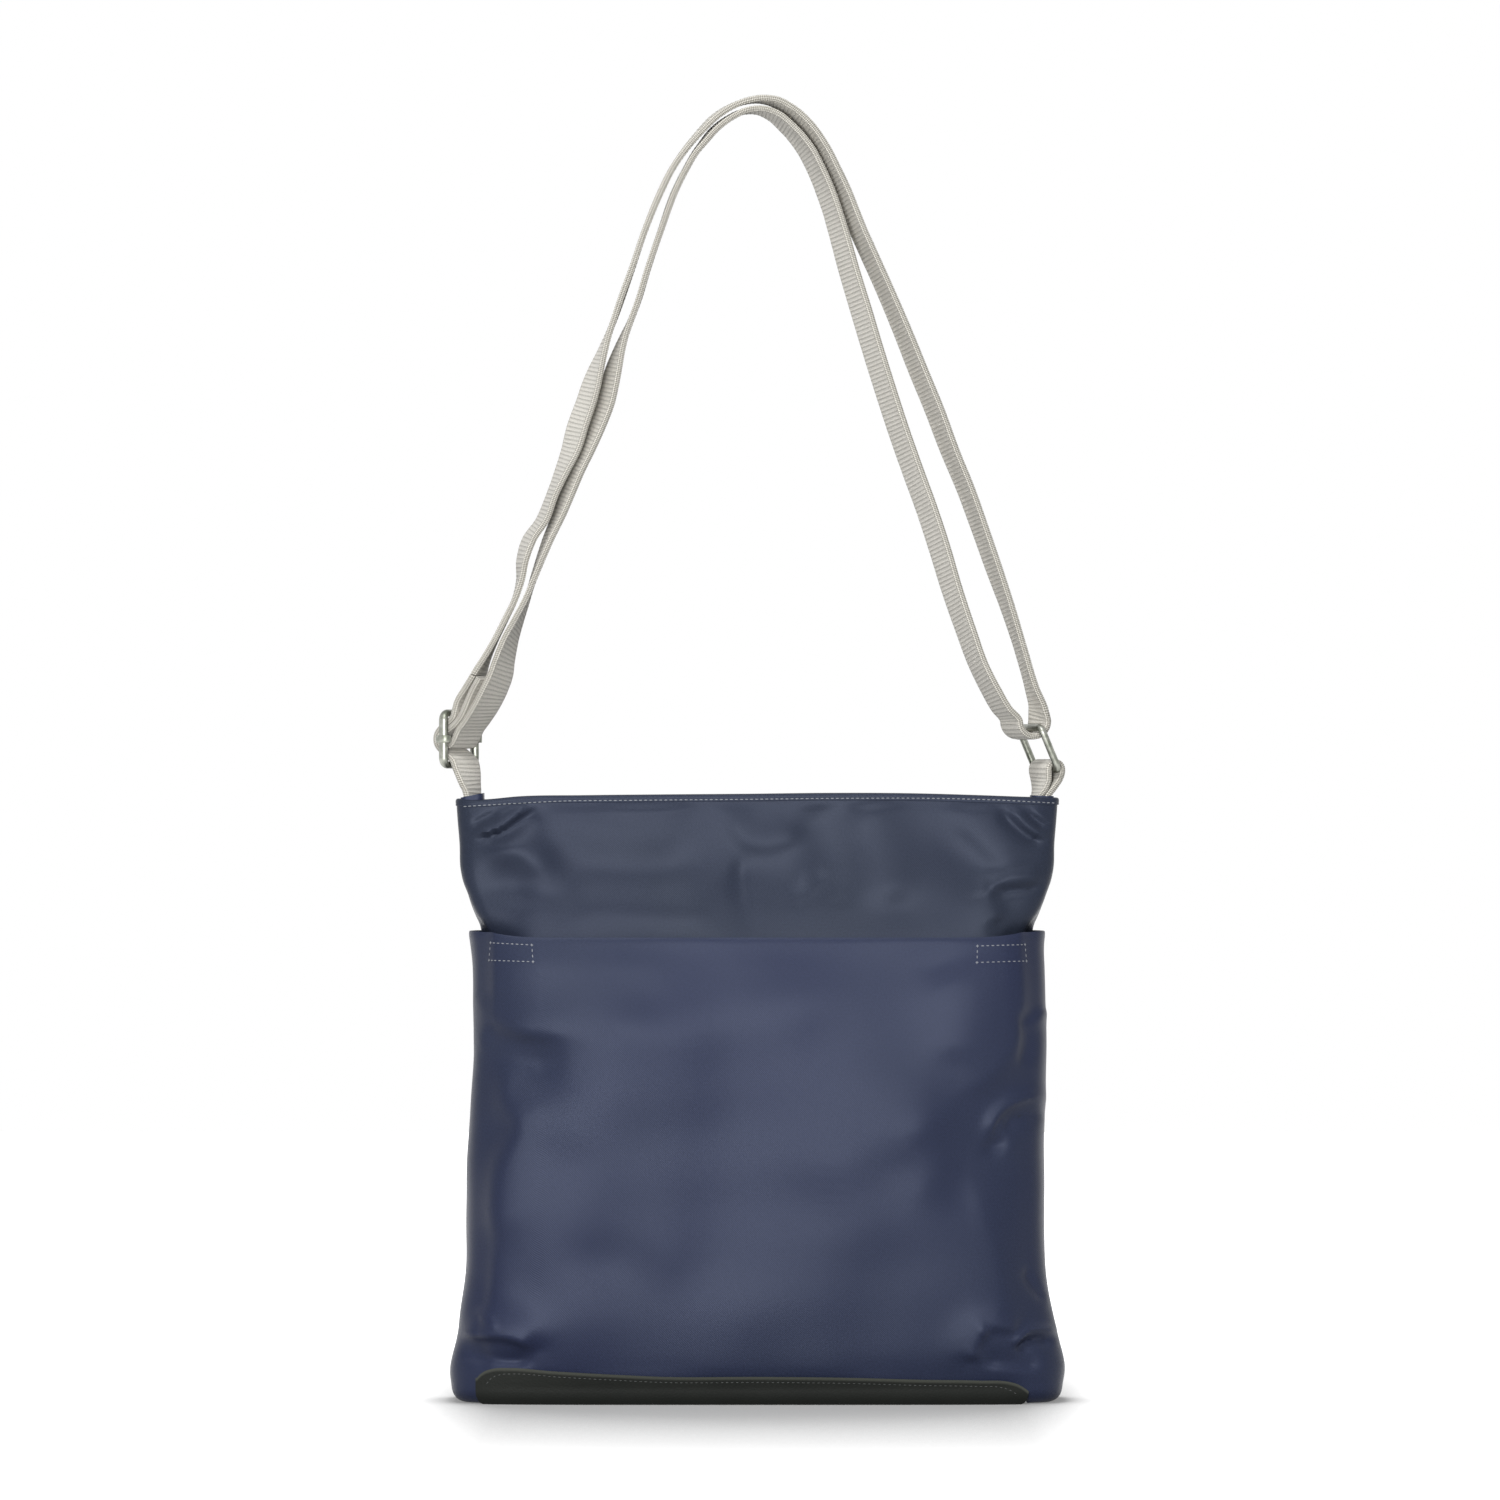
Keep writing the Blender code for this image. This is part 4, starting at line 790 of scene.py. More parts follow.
def rim_height(around):
    """The pocket's top edge, which rises at the corners and round the ends."""
    across = np.where(np.abs(around) < 1, np.abs(around), 1.0) * SEAM_SHARE
    start, span = RIM_CORNER
    return POCKET_HEIGHT + CORNER_RISE * np.clip((across - start) / span, 0, 1) ** 2


def pocket_around():
    """Columns from the back of the left end over the front to the back of the right end."""
    end = np.linspace(1, 1 + 2 * WRAP_SHARE, WRAP_COLUMNS)[1:]
    face = 2 * crowded(np.linspace(0, 1, POCKET_COLUMNS), 0.5) - 1
    return np.concatenate([-end[::-1], face, end])


def front_bulge(level):
    """How far the pocket's front stands out at each height."""
    return FRONT_BULGE * smooth_read(FRONT_BULGE_SHARES, level / BAG_HEIGHT)


def pocket_grid(around, turned, shares, thickness):
    """The pocket's skin: rows from its foot to its rim, with the bulge and the shoulders."""
    level = PANEL_FOOT + (rim_height(around) - PANEL_FOOT) * shares[:, None]
    front = np.abs(around) <= 1
    spots = seen_at(on_bag(turned, level, thickness, thickness))
    left = smooth_read(LEFT_SHOULDER, spots[..., 1])
    right = smooth_read(RIGHT_SHOULDER, spots[..., 1])
    from_left = (spots[..., 0] - SLOPE_STARTS_PX[0]) / np.maximum(left - SLOPE_BASES_PX[0],
                                                                  SLOPE_LEAST_PX)
    from_right = (SLOPE_STARTS_PX[1] - spots[..., 0]) / (SLOPE_BASES_PX[1] - right)
    ramp = (ease(np.clip(from_left, 0, 1) * SLOPE_EASE)
            * ease(np.clip(from_right, 0, 1) * SLOPE_EASE))
    plain = 1 - np.abs(around) ** FACE_ROUNDNESS
    bulge = front_bulge(level) * np.where(
        front, (1 - SHOULDER_SHARE) * plain + SHOULDER_SHARE * ramp, 0)
    end_t = (np.abs(around) - 1) / WRAP_SHARE - 1
    side = SIDE_BULGE * smooth_read(SIDE_BULGE_SHARES, level / BAG_HEIGHT)
    side = np.where(front, 0, side * (1 - np.abs(end_t) ** END_ROUNDNESS))
    ends = on_bag(turned, level, thickness + side, thickness)
    face = on_bag(turned, level, thickness, thickness + bulge)
    return np.where(front[None, :, None], face, ends)


def pocket_foot(turned, thickness):
    """Rows that carry the pocket round the rounded foot, lowest first."""
    rows = np.stack(foot_rows(turned, thickness, 6, POCKET_FOOT_TURN))
    lowest = np.where(np.abs(rows[..., 0]) < TRIM_REACH, LEATHER + GAP, STAND_OFF)
    rows[..., 2] = np.maximum(rows[..., 2], lowest)
    return rows


def soften(points, rounds):
    """Relaxes a grid's inner points towards their neighbours, which rounds hard ridges."""
    for _ in range(rounds):
        middle = (points[1:-1, :-2] + points[1:-1, 2:] + points[:-2, 1:-1] + points[2:, 1:-1]) / 4
        points[1:-1, 1:-1] += 0.5 * (middle - points[1:-1, 1:-1])
    return points


around_pocket = pocket_around()
turned = np.where(around_pocket < -1, around_pocket + 8, around_pocket)
rows = np.unique(np.concatenate([np.linspace(*span) for span in POCKET_ROWS]))
front_out = POCKET_EASE + CLOTH
foot = pocket_foot(turned, front_out)
pocket_skin = np.concatenate([foot, pocket_grid(around_pocket, turned, rows, front_out)])
rows = np.concatenate([np.zeros(len(foot)), rows])
pocket_skin = soften(pocket_skin, SOFTEN_ROUNDS)
normal = out_of(pocket_skin)
level = pocket_skin[..., 2]
facing = rising(-normal[..., 1], *FACING)
held = falling(level, POCKET_HEIGHT + CORNER_RISE, RIM_HOLD)
held = held * rising(level, PANEL_FOOT, FOOT_HOLD)
push = folds(seen_at(pocket_skin), POCKET_FOLDS) * facing * held
push += billow(pocket_skin, *POCKET_LONG_WAVES) * held
push += billow(pocket_skin, *POCKET_SHORT_WAVES) * held
pocket_out = pocket_skin + normal * push[..., None]
rolled = np.interp(rows, *RIM_ROLL)[:, None, None] * CLOTH
pocket = cloth_panel("wrap_pocket", pocket_out - normal * rolled,
                     pocket_out - normal * (CLOTH - rolled), pocket_nylon)
fit(pocket, "pocket_nylon", "bag", "front_pocket", "side_pocket_left", "side_pocket_right")

# %% [markdown]
# The leather trim is one strip folded under the base: up the front, under, and up the back. Its
# front edge is not straight on the real bag, it sinks towards the right, so the height of each
# column is read from a short table. The strip lies on the pocket's foot, outside the body.

# %% The base trim
TRIM_HALF_LENGTH = 0.1342
TRIM_SHIFT = -0.0024
TRIM_LEG = 0.015
TRIM_CORNER = 0.013
TRIM_LEAST = 0.0012
TRIM_COLUMN_DEPTH, TRIM_FRONT_DEPTH = 0.037, 0.043
TRIM_EDGE_PX = (
    (478, 1397), (479, 1388), (484, 1378), (490, 1372.5), (498, 1369.5), (515, 1368.5),
    (557, 1371.5), (620, 1375), (665, 1377), (757, 1377), (850, 1378), (920, 1380), (976, 1381),
    (1004, 1382.5), (1012, 1385), (1018, 1388.5), (1024, 1393.5), (1029, 1398),
)
LEATHER_GLOSS = 0.10
# the colour of a painted highlight along the trim's top edge at the front, and the band in metres
# over which it fades out
LEATHER_EDGE_HIGHLIGHT = (0.050, 0.053, 0.045)
HIGHLIGHT_FADE = (0.0008, 0.0019)
LEATHER_ROUND = 0.00055
GRAIN_DEPTH, GRAIN_BUMP = 0.00012, 0.5
TRIM_COLUMNS, TRIM_END_COLUMNS, TRIM_END_SHARE = 110, 14, 0.1


def leather_finish(name, shade, tint):
    """Smooth hide: a fine pebbled grain, a slightly worn colour, a soft shine, and a painted
    highlight along the top edge.
    """
    material, tree, shader = blank_finish(name)
    place, uv = object_place(tree), cloth_place(tree)
    cells = node(tree, "ShaderNodeTexVoronoi", {"Vector": place, "Scale": 1100.0},
                 feature="SMOOTH_F1").outputs["Distance"]
    wear = noise(tree, place, scale=38.0, detail=4.0)
    grain = noise(tree, place, scale=420.0, detail=3.0)
    # painted highlight: a pale band along the front's top edge, where the rounded lip catches the
    # light
    edge = remap(tree, axes(tree, uv)[1], 1.0, 0.0, *HIGHLIGHT_FADE)
    surface(tree, shader, calc(tree, "ADD", cells, grain), GRAIN_DEPTH, GRAIN_BUMP, {
        "Base Color": mix(tree, edge, mix(tree, wear, shade, tint), LEATHER_EDGE_HIGHLIGHT),
        "Roughness": remap(tree, grain, low=0.42, high=0.58),
        "Specular IOR Level": LEATHER_GLOSS})
    return material


def trim_leg(around, heights, out, fullness, rows=14):
    """One leg of the strip, from the underside's edge round the foot and up the wall."""
    grid = foot_rows(around, out, 6)
    for row in grid:
        row[:, 2] = np.minimum(row[:, 2], heights)
    for share in np.linspace(0, 1, rows)[1:]:
        level = FOOT_TOP + np.maximum(0.0, heights - FOOT_TOP) * share
        bulge = front_bulge(level) * (1 - np.abs(around) ** FACE_ROUNDNESS) * fullness
        row = on_bag(around, FOOT_TOP, out, out + bulge)
        row[:, 2] = level
        grid.append(row)
    return np.stack(grid)


def trim_skin(shares, out_front, out_back, under):
    """The strip's skin, down the front, under the base and up the back; "under" is its least
    height."""
    x = shares * TRIM_HALF_LENGTH + TRIM_SHIFT
    spots = seen_at(np.stack([x, np.full_like(x, -TRIM_COLUMN_DEPTH), np.zeros_like(x)], axis=-1))
    edge = smooth_read(TRIM_EDGE_PX, spots[:, 0])
    nearer = 1 - TRIM_FRONT_DEPTH / EYE_DISTANCE
    front_height = eye_height - (edge - FRAME_SIDE_PX / 2) * PIXEL * nearer
    past = np.maximum(0.0, np.abs(x - TRIM_SHIFT) - (TRIM_HALF_LENGTH - TRIM_CORNER))
    drop = TRIM_CORNER - np.sqrt(np.maximum(0.0, TRIM_CORNER ** 2 - past ** 2))
    face = x / (BAG_HALF_WIDTH * SEAM_SHARE)
    front = trim_leg(face, np.maximum(front_height, TRIM_LEAST), out_front, 1.0)
    back = trim_leg(4 - face, np.maximum(TRIM_LEG - drop, TRIM_LEAST), out_back, 0.0)
    grid = np.concatenate([front[::-1], back])
    grid[..., 2] = np.maximum(grid[..., 2], under)
    return grid


def round_edges(piece, width, segments):
    """Rounds a piece's sharp edges."""
    bevel = piece.modifiers.new("edge", "BEVEL")
    bevel.width, bevel.segments = width, segments
    bevel.limit_method, bevel.angle_limit = "ANGLE", math.radians(50)


base_leather = leather_finish("base_leather_hide", (0.0095, 0.0105, 0.0095),
                              (0.015, 0.0165, 0.0145))
quarter = np.linspace(0, math.pi / 2, TRIM_END_COLUMNS)
ends = 1 - (1 - np.cos(quarter)) * TRIM_END_SHARE
shares = np.linspace(-ends[-1], ends[-1], TRIM_COLUMNS)
shares = np.concatenate([-ends[:-1], shares, ends[:-1][::-1]])
front_lift = front_out + GAP
trim = cloth_panel("base_trim_strip", trim_skin(shares, front_lift + LEATHER, GAP + LEATHER, 0.0),
                   trim_skin(shares, front_lift, GAP, LEATHER), base_leather)
round_edges(trim, LEATHER_ROUND, 3)
fit(trim, "base_leather", "bag", "base_trim")

# %% [markdown]
# The strap is one long webbing. It is sewn in at the left corner, weaves through the adjuster,
# runs over the top and down to the ring, turns round it, and comes back beside itself to the
# adjuster's cross bar. Its route was read off the photograph as places and turns, and each
# stretch of webbing is a section swept along a smooth curve through them.

# %% The strap's route
WEB_WIDTH = 0.025
WEB_THICKNESS = 0.003
WIRE_RADIUS = 0.0018
BAR_RADIUS = 0.0015
WEB_OVER_WEB = WEB_THICKNESS + GAP
WEB_ROUND_END = WIRE_RADIUS + GAP + WEB_THICKNESS / 2
WEB_ROUND_BAR = BAR_RADIUS + GAP + WEB_THICKNESS / 2
# across and down on the picture, depth in pixels, turn of the webbing in degrees
TAIL_FOOT_PX = (
    (473.4, 831, -0.5, -12), (472.4, 797, -0.5, -13), (471.4, 789, 0, -16),
    (469.4, 781, 0.4, -21),
)
TAIL_HEAD_PX = ((467.3, 701, 2, -24), (472.0, 689, 0.3, -18), (479, 674, -3.5, -12))
OUTER_RUN_PX = (
    (485.5, 660, -4, -5), (495.3, 640, -3, 0), (505.5, 619, -1, 1),
    (515, 599, 0, 2), (520.4, 580, 0, 5), (522.6, 560, 0, 10), (529.1, 540, 0, 13),
    (542.5, 520, 0, 12), (552.3, 495, 0, 10), (561.9, 472, 0, 14), (571.3, 449, 0, 20),
    (577.8, 426, 0, 22), (585.9, 403, 0, 21), (592.9, 380, 0, 18), (596.7, 368, 0, 14),
    (603, 350, 0, 7), (606.8, 339, 0, 4), (613.9, 320, 0, 1), (620.9, 300, 0, 0),
    (631.5, 270, 0, 1), (645, 230, 0, 2), (661.5, 190, 0, 3), (671.5, 170, 0, 3),
    (685, 150, 0, 4), (701, 131, 0, 6), (715, 117, 0, 8), (730.6, 107, 0, 9),
    (745, 101.4, 0, 10), (760, 99.4, 0, 12), (773, 101.4, 0, 13), (788, 109.5, 0, 14),
    (804, 124, 0, 15), (820, 146, 0, 15), (832.5, 170, 0, 15), (842, 190, 0, 15),
    (850, 210, 0, 15), (858, 230, 0, 15), (867, 250, 0, 15), (885, 290, 0, 15),
    (902, 330, 0, 16), (918, 370, 0, 17), (934.5, 410, 0, 17), (949.5, 450, 0, 16),
    (966, 490, 0, 15), (980.5, 530, 0, 14), (994.5, 570, 0, 13), (1008.5, 610, 0, 10),
    (1021, 650, -1, 8), (1032.5, 690, -2, 10), (1038.5, 709, -1, 16),
)
INNER_RUN_PX = (
    (1001.5, 709, -13, 19), (990.5, 690, -14, 18), (979.5, 668, -13, 17), (965.5, 630, -10, 18),
    (952, 590, -7, 19), (940, 550, -5, 20), (927, 510, -3, 20), (912.5, 470, -1, 20),
    (898.5, 430, 0, 20), (885.5, 390, 0, 20), (873, 350, 0, 20), (861, 310, 0, 20),
    (849, 270, 0, 19), (838, 230, 0, 18), (832, 210, 0, 17), (825, 190, 0, 17),
    (816.5, 170, 0, 16), (806, 150, 0, 16), (788, 128, 0, 15), (773, 115.5, 0, 14),
    (760, 110.6, 0, 12), (744, 111.4, 0, 10), (730.6, 117.4, 0, 9), (715, 129, 0, 8),
    (703, 143, 0, 6), (696, 152, 0, 4), (685.5, 170, 0, 3), (675.5, 190, 0, 3),
    (661, 230, 0, 2), (647.5, 270, 0, 1), (638.5, 300, 0, 1), (631, 320, 0, 2),
    (623.1, 339, 0, 6), (618.6, 352, 0, 10), (613.9, 368, 0, 15), (609.6, 385, 0, 18),
    (604.7, 403, 0, 20), (596, 426, 0, 20), (586, 449, 0, 19), (575.5, 472, 0, 17),
    (566.5, 495, 0, 15), (557.6, 518, 0, 12), (548, 540, -1.5, 9), (540.5, 560, -3, 6),
    (533.4, 580, -5, 3), (527, 599, -7, -1), (518.5, 620, -9, -7), (510.5, 640, -11, -14),
    (504.5, 660, -13, -20), (500.4, 676, -13.5, -25), (494.4, 690, -13, -28),
)
CUT_END_PX = ((484, 690, -7.5, -28), (490.6, 678, -11, -28))
TAB_LEGS_PX = (
    (1040.5, 831, 1, 5, 4), (1041, 797, 1, 6, 4), (1044.2, 789, 2, 12, 4.4),
    (1046.6, 780, 3, 18, 5.8),
)
ADJUSTER_PLACE_PX = (458.8, 739, 6)
ADJUSTER_TURN = math.radians(-28)
ADJUSTER_END_BAR = 0.01295
ADJUSTER_CORNER = 0.0036
SEWN_LEAN, TAIL_LEAN = math.radians(-39), math.radians(12)
RING_PLACE_PX = (1038.4, 748.5, 0)
RING_TURN, RING_LEAN = math.radians(20.5), math.radians(24)
RING_HALF_HEIGHT = 0.0114
RING_CORNER = 0.0033
LOOP_RADIUS = 0.0076
LOOP_SLUMP = math.radians(35)
ARC_STEPS = 5


def station(spot_px):
    """A place and a turn in the frame, from a place on the picture."""
    across, down, out, turn = spot_px[:4]
    return np.array([(across - CENTRE_COLUMN_PX) * PIXEL, out * PIXEL,
                     BAG_HEIGHT + (MOUTH_ROW_PX - down) * PIXEL, math.radians(turn)])


def stations(table):
    return [station(spot_px) for spot_px in table]


def edge_way(turn):
    return np.array([math.sin(turn), -math.cos(turn), 0.0])


def face_way(turn):
    return np.array([math.cos(turn), math.sin(turn), 0.0])


def bent(centre, radius, leans, turn, inner=1):
    """Stations round a bar: inner is 1 on the bag's side of the bar, -1 on its far side."""
    return [np.append(centre + (face_way(turn) * math.cos(lean) + up * math.sin(lean))
                      * (inner * radius), turn) for lean in leans]


def steps(low, high, count=ARC_STEPS):
    return [low + (high - low) * i / count for i in range(count + 1)]


up = np.array([0.0, 0.0, 1.0])
adjuster_centre = station((*ADJUSTER_PLACE_PX, 0))[:3]
low_bar = adjuster_centre - up * ADJUSTER_END_BAR
high_bar = adjuster_centre + up * ADJUSTER_END_BAR
over_bar = WEB_ROUND_BAR + WEB_OVER_WEB
cross_lean = math.asin((WEB_ROUND_END + over_bar) / ADJUSTER_END_BAR)
ring_centre = station((*RING_PLACE_PX, 0))[:3]
ring_bar, ring_face = edge_way(RING_TURN), face_way(RING_TURN)
ring_up = ring_face * -math.sin(RING_LEAN) + up * math.cos(RING_LEAN)
ring_top = ring_centre + ring_up * RING_HALF_HEIGHT
ring_low = ring_centre - ring_up * RING_HALF_HEIGHT

tail_foot = stations(TAIL_FOOT_PX)
tail_low = bent(low_bar, WEB_ROUND_END, steps(TAIL_LEAN, cross_lean), ADJUSTER_TURN)
tail_cross = bent(adjuster_centre, over_bar, steps(cross_lean, -cross_lean), ADJUSTER_TURN, -1)
tail_high = bent(high_bar, WEB_ROUND_END, steps(-cross_lean, -TAIL_LEAN), ADJUSTER_TURN)
slack = LOOP_RADIUS - WEB_ROUND_END
loop_centre = ring_top + up * (slack * math.cos(LOOP_SLUMP))
loop_centre = loop_centre - ring_face * (slack * math.sin(LOOP_SLUMP))
under_ring = bent(loop_centre, LOOP_RADIUS, steps(0, -math.pi, 2 * ARC_STEPS), RING_TURN)
main_leg = bent(high_bar, WEB_ROUND_END + 2 * WEB_OVER_WEB,
                [SEWN_LEAN, (SEWN_LEAN - cross_lean) / 2], ADJUSTER_TURN)
main_leg += bent(adjuster_centre, WEB_ROUND_BAR, [-cross_lean / 2, -cross_lean], ADJUSTER_TURN)
round_bar = bent(adjuster_centre, WEB_ROUND_BAR, steps(math.pi / 2, -cross_lean), ADJUSTER_TURN,
                 -1)
fold_leg = bent(high_bar, WEB_ROUND_END + WEB_OVER_WEB, [-cross_lean, SEWN_LEAN], ADJUSTER_TURN)
run = (stations(OUTER_RUN_PX) + under_ring + stations(INNER_RUN_PX) + main_leg + round_bar
       + fold_leg + stations(CUT_END_PX))
print("stations of the run", len(run))

# %% [markdown]
# Webbing this thick is woven with heavy cross cords: its faces are ribbed and its edges are
# smooth and knitted. The swept strip carries, for each point, how far along it lies and whether
# it is on a face. A Geometry Nodes tree then raises one rib for each cord, so the ribs show in
# the outline too, and the pitch is one number. The stitches and the zip's teeth are laid by
# such trees too, so the parts that the trees share come first.


# %% Rules in Geometry Nodes
def open_rule(name, sizes, finish):
    """A tree with sizes and a finish to set, and the outputs of its input node."""
    tree = bpy.data.node_groups.new(name, "GeometryNodeTree")
    face = tree.interface
    face.new_socket("Geometry", in_out="INPUT", socket_type="NodeSocketGeometry")
    for key, value in sizes.items():
        face.new_socket(key, in_out="INPUT", socket_type="NodeSocketFloat").default_value = value
    face.new_socket(finish, in_out="INPUT", socket_type="NodeSocketMaterial")
    face.new_socket("Geometry", in_out="OUTPUT", socket_type="NodeSocketGeometry")
    return tree, node(tree, "NodeGroupInput").outputs


def set_along(tree, enter, thing, **turn):
    """Sets a thing of the three given sizes at every pitch along the lines that come in."""
    line = node(tree, "GeometryNodeMeshToCurve", {"Mesh": enter[0]}).outputs[0]
    marks = node(tree, "GeometryNodeResampleCurve", {"Curve": line, "Length": enter[1]},
                 mode="LENGTH").outputs[0]
    size = node(tree, "ShaderNodeCombineXYZ", {k: enter[k + 2] for k in range(3)}).outputs[0]
    sized = node(tree, "GeometryNodeTransform", {"Geometry": thing, "Scale": size}).outputs[0]
    return node(tree, "GeometryNodeInstanceOnPoints",
                {"Points": marks, "Instance": sized, **turn}).outputs[0]


def close_rule(tree, geometry, finish, smooth=False):
    """Ends a tree: what was set becomes one mesh with the finish."""
    geometry = node(tree, "GeometryNodeRealizeInstances", {0: geometry}).outputs[0]
    if smooth:
        geometry = node(tree, "GeometryNodeSetShadeSmooth", {0: geometry}).outputs[0]
    dyed = node(tree, "GeometryNodeSetMaterial", {"Geometry": geometry, "Material": finish})
    node(tree, "NodeGroupOutput", {0: dyed.outputs[0]})
    return tree


def field(tree, name, kind="FLOAT"):
    return node(tree, "GeometryNodeInputNamedAttribute", {"Name": name}, data_type=kind).outputs[0]


def run_tree(piece, tree, inputs):
    """Runs a node tree on a piece, with inputs by name, and keeps the result as its mesh."""
    change = piece.modifiers.new("rule", "NODES")
    change.node_group = tree
    for item in tree.interface.items_tree:
        if item.in_out == "INPUT" and item.name in inputs:
            change[item.identifier] = inputs[item.name]
    seen = piece.evaluated_get(bpy.context.evaluated_depsgraph_get())
    made = bpy.data.meshes.new_from_object(seen)
    piece.modifiers.clear()
    old, piece.data = piece.data, made
    bpy.data.meshes.remove(old)
    made.name = piece.name
    return piece


# %% Webbing by rule
RIB = {"Rib pitch": 0.0021, "Rib height": 0.00022}
RIB_MIDDLE = 0.65
STEPS_PER_RIB = 6
TINY = 1e-9
# across the width, across the thickness, share of the rib, share of the selvage
QUARTER = (
    (1.000, 0.00, 0.0, 1.0), (0.990, 0.55, 0.0, 1.0), (0.965, 0.86, 0.0, 1.0),
    (0.930, 0.98, 0.2, 0.8), (0.860, 1.00, 0.9, 0.1), (0.450, 1.00, 1.0, 0.0),
)


def rib_tree():
    """A node tree that raises a rib across the webbing at every pitch."""
    tree, enter = open_rule("raise_ribs", RIB, "Webbing")
    turn = calc(tree, "MULTIPLY", calc(tree, "DIVIDE", field(tree, "along"), enter[1]), math.pi)
    wave = calc(tree, "SUBTRACT", calc(tree, "ABSOLUTE", calc(tree, "SINE", turn)), RIB_MIDDLE)
    rise = calc(tree, "MULTIPLY", calc(tree, "MULTIPLY", wave, enter[2]), field(tree, "rib"))
    push = scaled(tree, node(tree, "GeometryNodeInputNormal").outputs[0], rise)
    moved = node(tree, "GeometryNodeSetPosition", {"Geometry": enter[0], "Offset": push})
    return close_rule(tree, moved.outputs[0], enter[3])


def unit(vectors):
    return vectors / np.linalg.norm(vectors, axis=1, keepdims=True)


def sweep_frames(stations):
    """Dense places along a route, with the ways along, across and through the webbing."""
    stations = np.array(stations)
    place = travel(stations[:, :3])
    count = int(place[-1] / (RIB["Rib pitch"] / STEPS_PER_RIB))
    dense = curve_through(stations, count, space=3)
    spot, turn = dense[:, :3], dense[:, 3]
    along = unit(np.gradient(spot, axis=0))
    wide = np.stack([np.sin(turn), -np.cos(turn), np.zeros_like(turn)], axis=1)
    wide = unit(wide - along * (wide * along).sum(1, keepdims=True))
    return {"spot": spot, "wide": wide, "thick": np.cross(along, wide), "at": travel(spot),
            "stations": place}


def web_section():
    """The whole section: the quarter, its mirror across the width, then the lower half."""
    quarter = np.array(QUARTER)
    upper = np.concatenate([quarter, [(0.0, 1.0, 1.0, 0.0)], quarter[::-1] * (-1, 1, 1, 1)])
    return np.concatenate([upper, upper[-2:0:-1] * (1, -1, 1, 1)])


def webbing_piece(name, frames, low, high):
    """A closed stretch of ribbed webbing between two ways along the route."""
    keep = (frames["at"] >= low - TINY) & (frames["at"] <= high + TINY)
    spot, wide, thick, at = (frames[k][keep] for k in ("spot", "wide", "thick", "at"))
    section = web_section()
    outline = section[:, :2] * (WEB_WIDTH / 2, WEB_THICKNESS / 2)
    verts = spot[:, None] + wide[:, None] * outline[:, :1] + thick[:, None] * outline[:, 1:]
    count, columns = verts.shape[:2]
    faces = quads(count, columns, round_columns=True)[:, ::-1].tolist()
    faces.append(list(range(columns)))
    faces.append([(count - 1) * columns + k for k in range(columns)][::-1])
    uv = np.stack(np.broadcast_arrays(at[:, None], travel(outline)[None, :]), axis=-1)
    piece = make_piece(name, verts.reshape(-1, 3), faces, webbing, uv.reshape(-1, 2), smooth=70)
    for key, values in (("along", np.repeat(at, columns)), ("rib", np.tile(section[:, 2], count)),
                        ("selvage", np.tile(section[:, 3], count))):
        layer = piece.data.attributes.new(key, "FLOAT", "POINT")
        layer.data.foreach_set("value", values.astype(np.float32))
    return run_tree(piece, raise_ribs, {**RIB, "Webbing": webbing})


raise_ribs = rib_tree()
print("rule", raise_ribs.name)

# %% [markdown]
# The webbing's colour is a light warm grey. Painted shade darkens the grooves between the cords,
# so their tops read as lit, and on the selvage the yarns cross in a small zigzag with dark pores.

# %% The webbing's finish
WEB_LIGHT = (0.70, 0.675, 0.615)
WEB_DARK = (0.20, 0.19, 0.16)
CORD_TWIST = 0.0019
KNIT_ALONG, KNIT_ROUND = 0.0018, 0.0024
# how the painted shade in the grooves falls off, how dark it is, how much the cords' twist varies
# it, and how light the selvage's knit is
GROOVE_POWER, GROOVE_SHADE, CORD_SHADE, KNIT_LIGHT = 0.55, 0.75, 0.3, 0.42
BLOTCH_SHARE, BLOTCH_BASE = 0.3, 0.86
WEB_RELIEF, WEB_BUMP = 0.0003, 0.6


def webbing_finish():
    material, tree, shader = blank_finish("ribbed_webbing")
    uv = cloth_place(tree)
    selvage = node(tree, "ShaderNodeAttribute", attribute_name="selvage").outputs["Fac"]
    wave = calc(tree, "ABSOLUTE", stripes(tree, uv, 0.5 / RIB["Rib pitch"], 0))
    # painted shade: the colour darkens in the grooves between the cords, by an amount that swings
    # along each cord's twist
    groove_shade = calc(tree, "SUBTRACT", 1.0, calc(tree, "POWER", wave, GROOVE_POWER))
    broken = calc(tree, "MULTIPLY_ADD", stripes(tree, uv, 0, 1 / CORD_TWIST), CORD_SHADE,
                  GROOVE_SHADE)
    on_face = calc(tree, "SUBTRACT", 1.0, calc(tree, "MULTIPLY", broken, groove_shade))
    knit = calc(tree, "MULTIPLY", stripes(tree, uv, 1 / KNIT_ALONG, 1 / KNIT_ROUND),
                stripes(tree, uv, 1 / KNIT_ALONG, -1 / KNIT_ROUND))
    on_edge = calc(tree, "ADD", knit, KNIT_LIGHT, clamp=True)
    speck, blotch = noise(tree, uv, scale=900.0), noise(tree, uv, scale=45.0)
    light = node(tree, "ShaderNodeMix", {0: selvage, 2: on_face, 3: on_edge}, data_type="FLOAT")
    light = calc(tree, "MULTIPLY", light.outputs[0], calc(tree, "ADD", speck, 0.5))
    uneven = calc(tree, "MULTIPLY_ADD", blotch, BLOTCH_SHARE, BLOTCH_BASE)
    light = calc(tree, "MULTIPLY", light, uneven)
    surface(tree, shader, calc(tree, "ADD", light, speck), WEB_RELIEF, WEB_BUMP, {
        "Base Color": mix(tree, light, WEB_DARK, WEB_LIGHT), "Roughness": 0.85,
        "Specular IOR Level": 0.25, "Sheen Weight": 0.15})
    return material


webbing = webbing_finish()
print("finish", webbing.name)

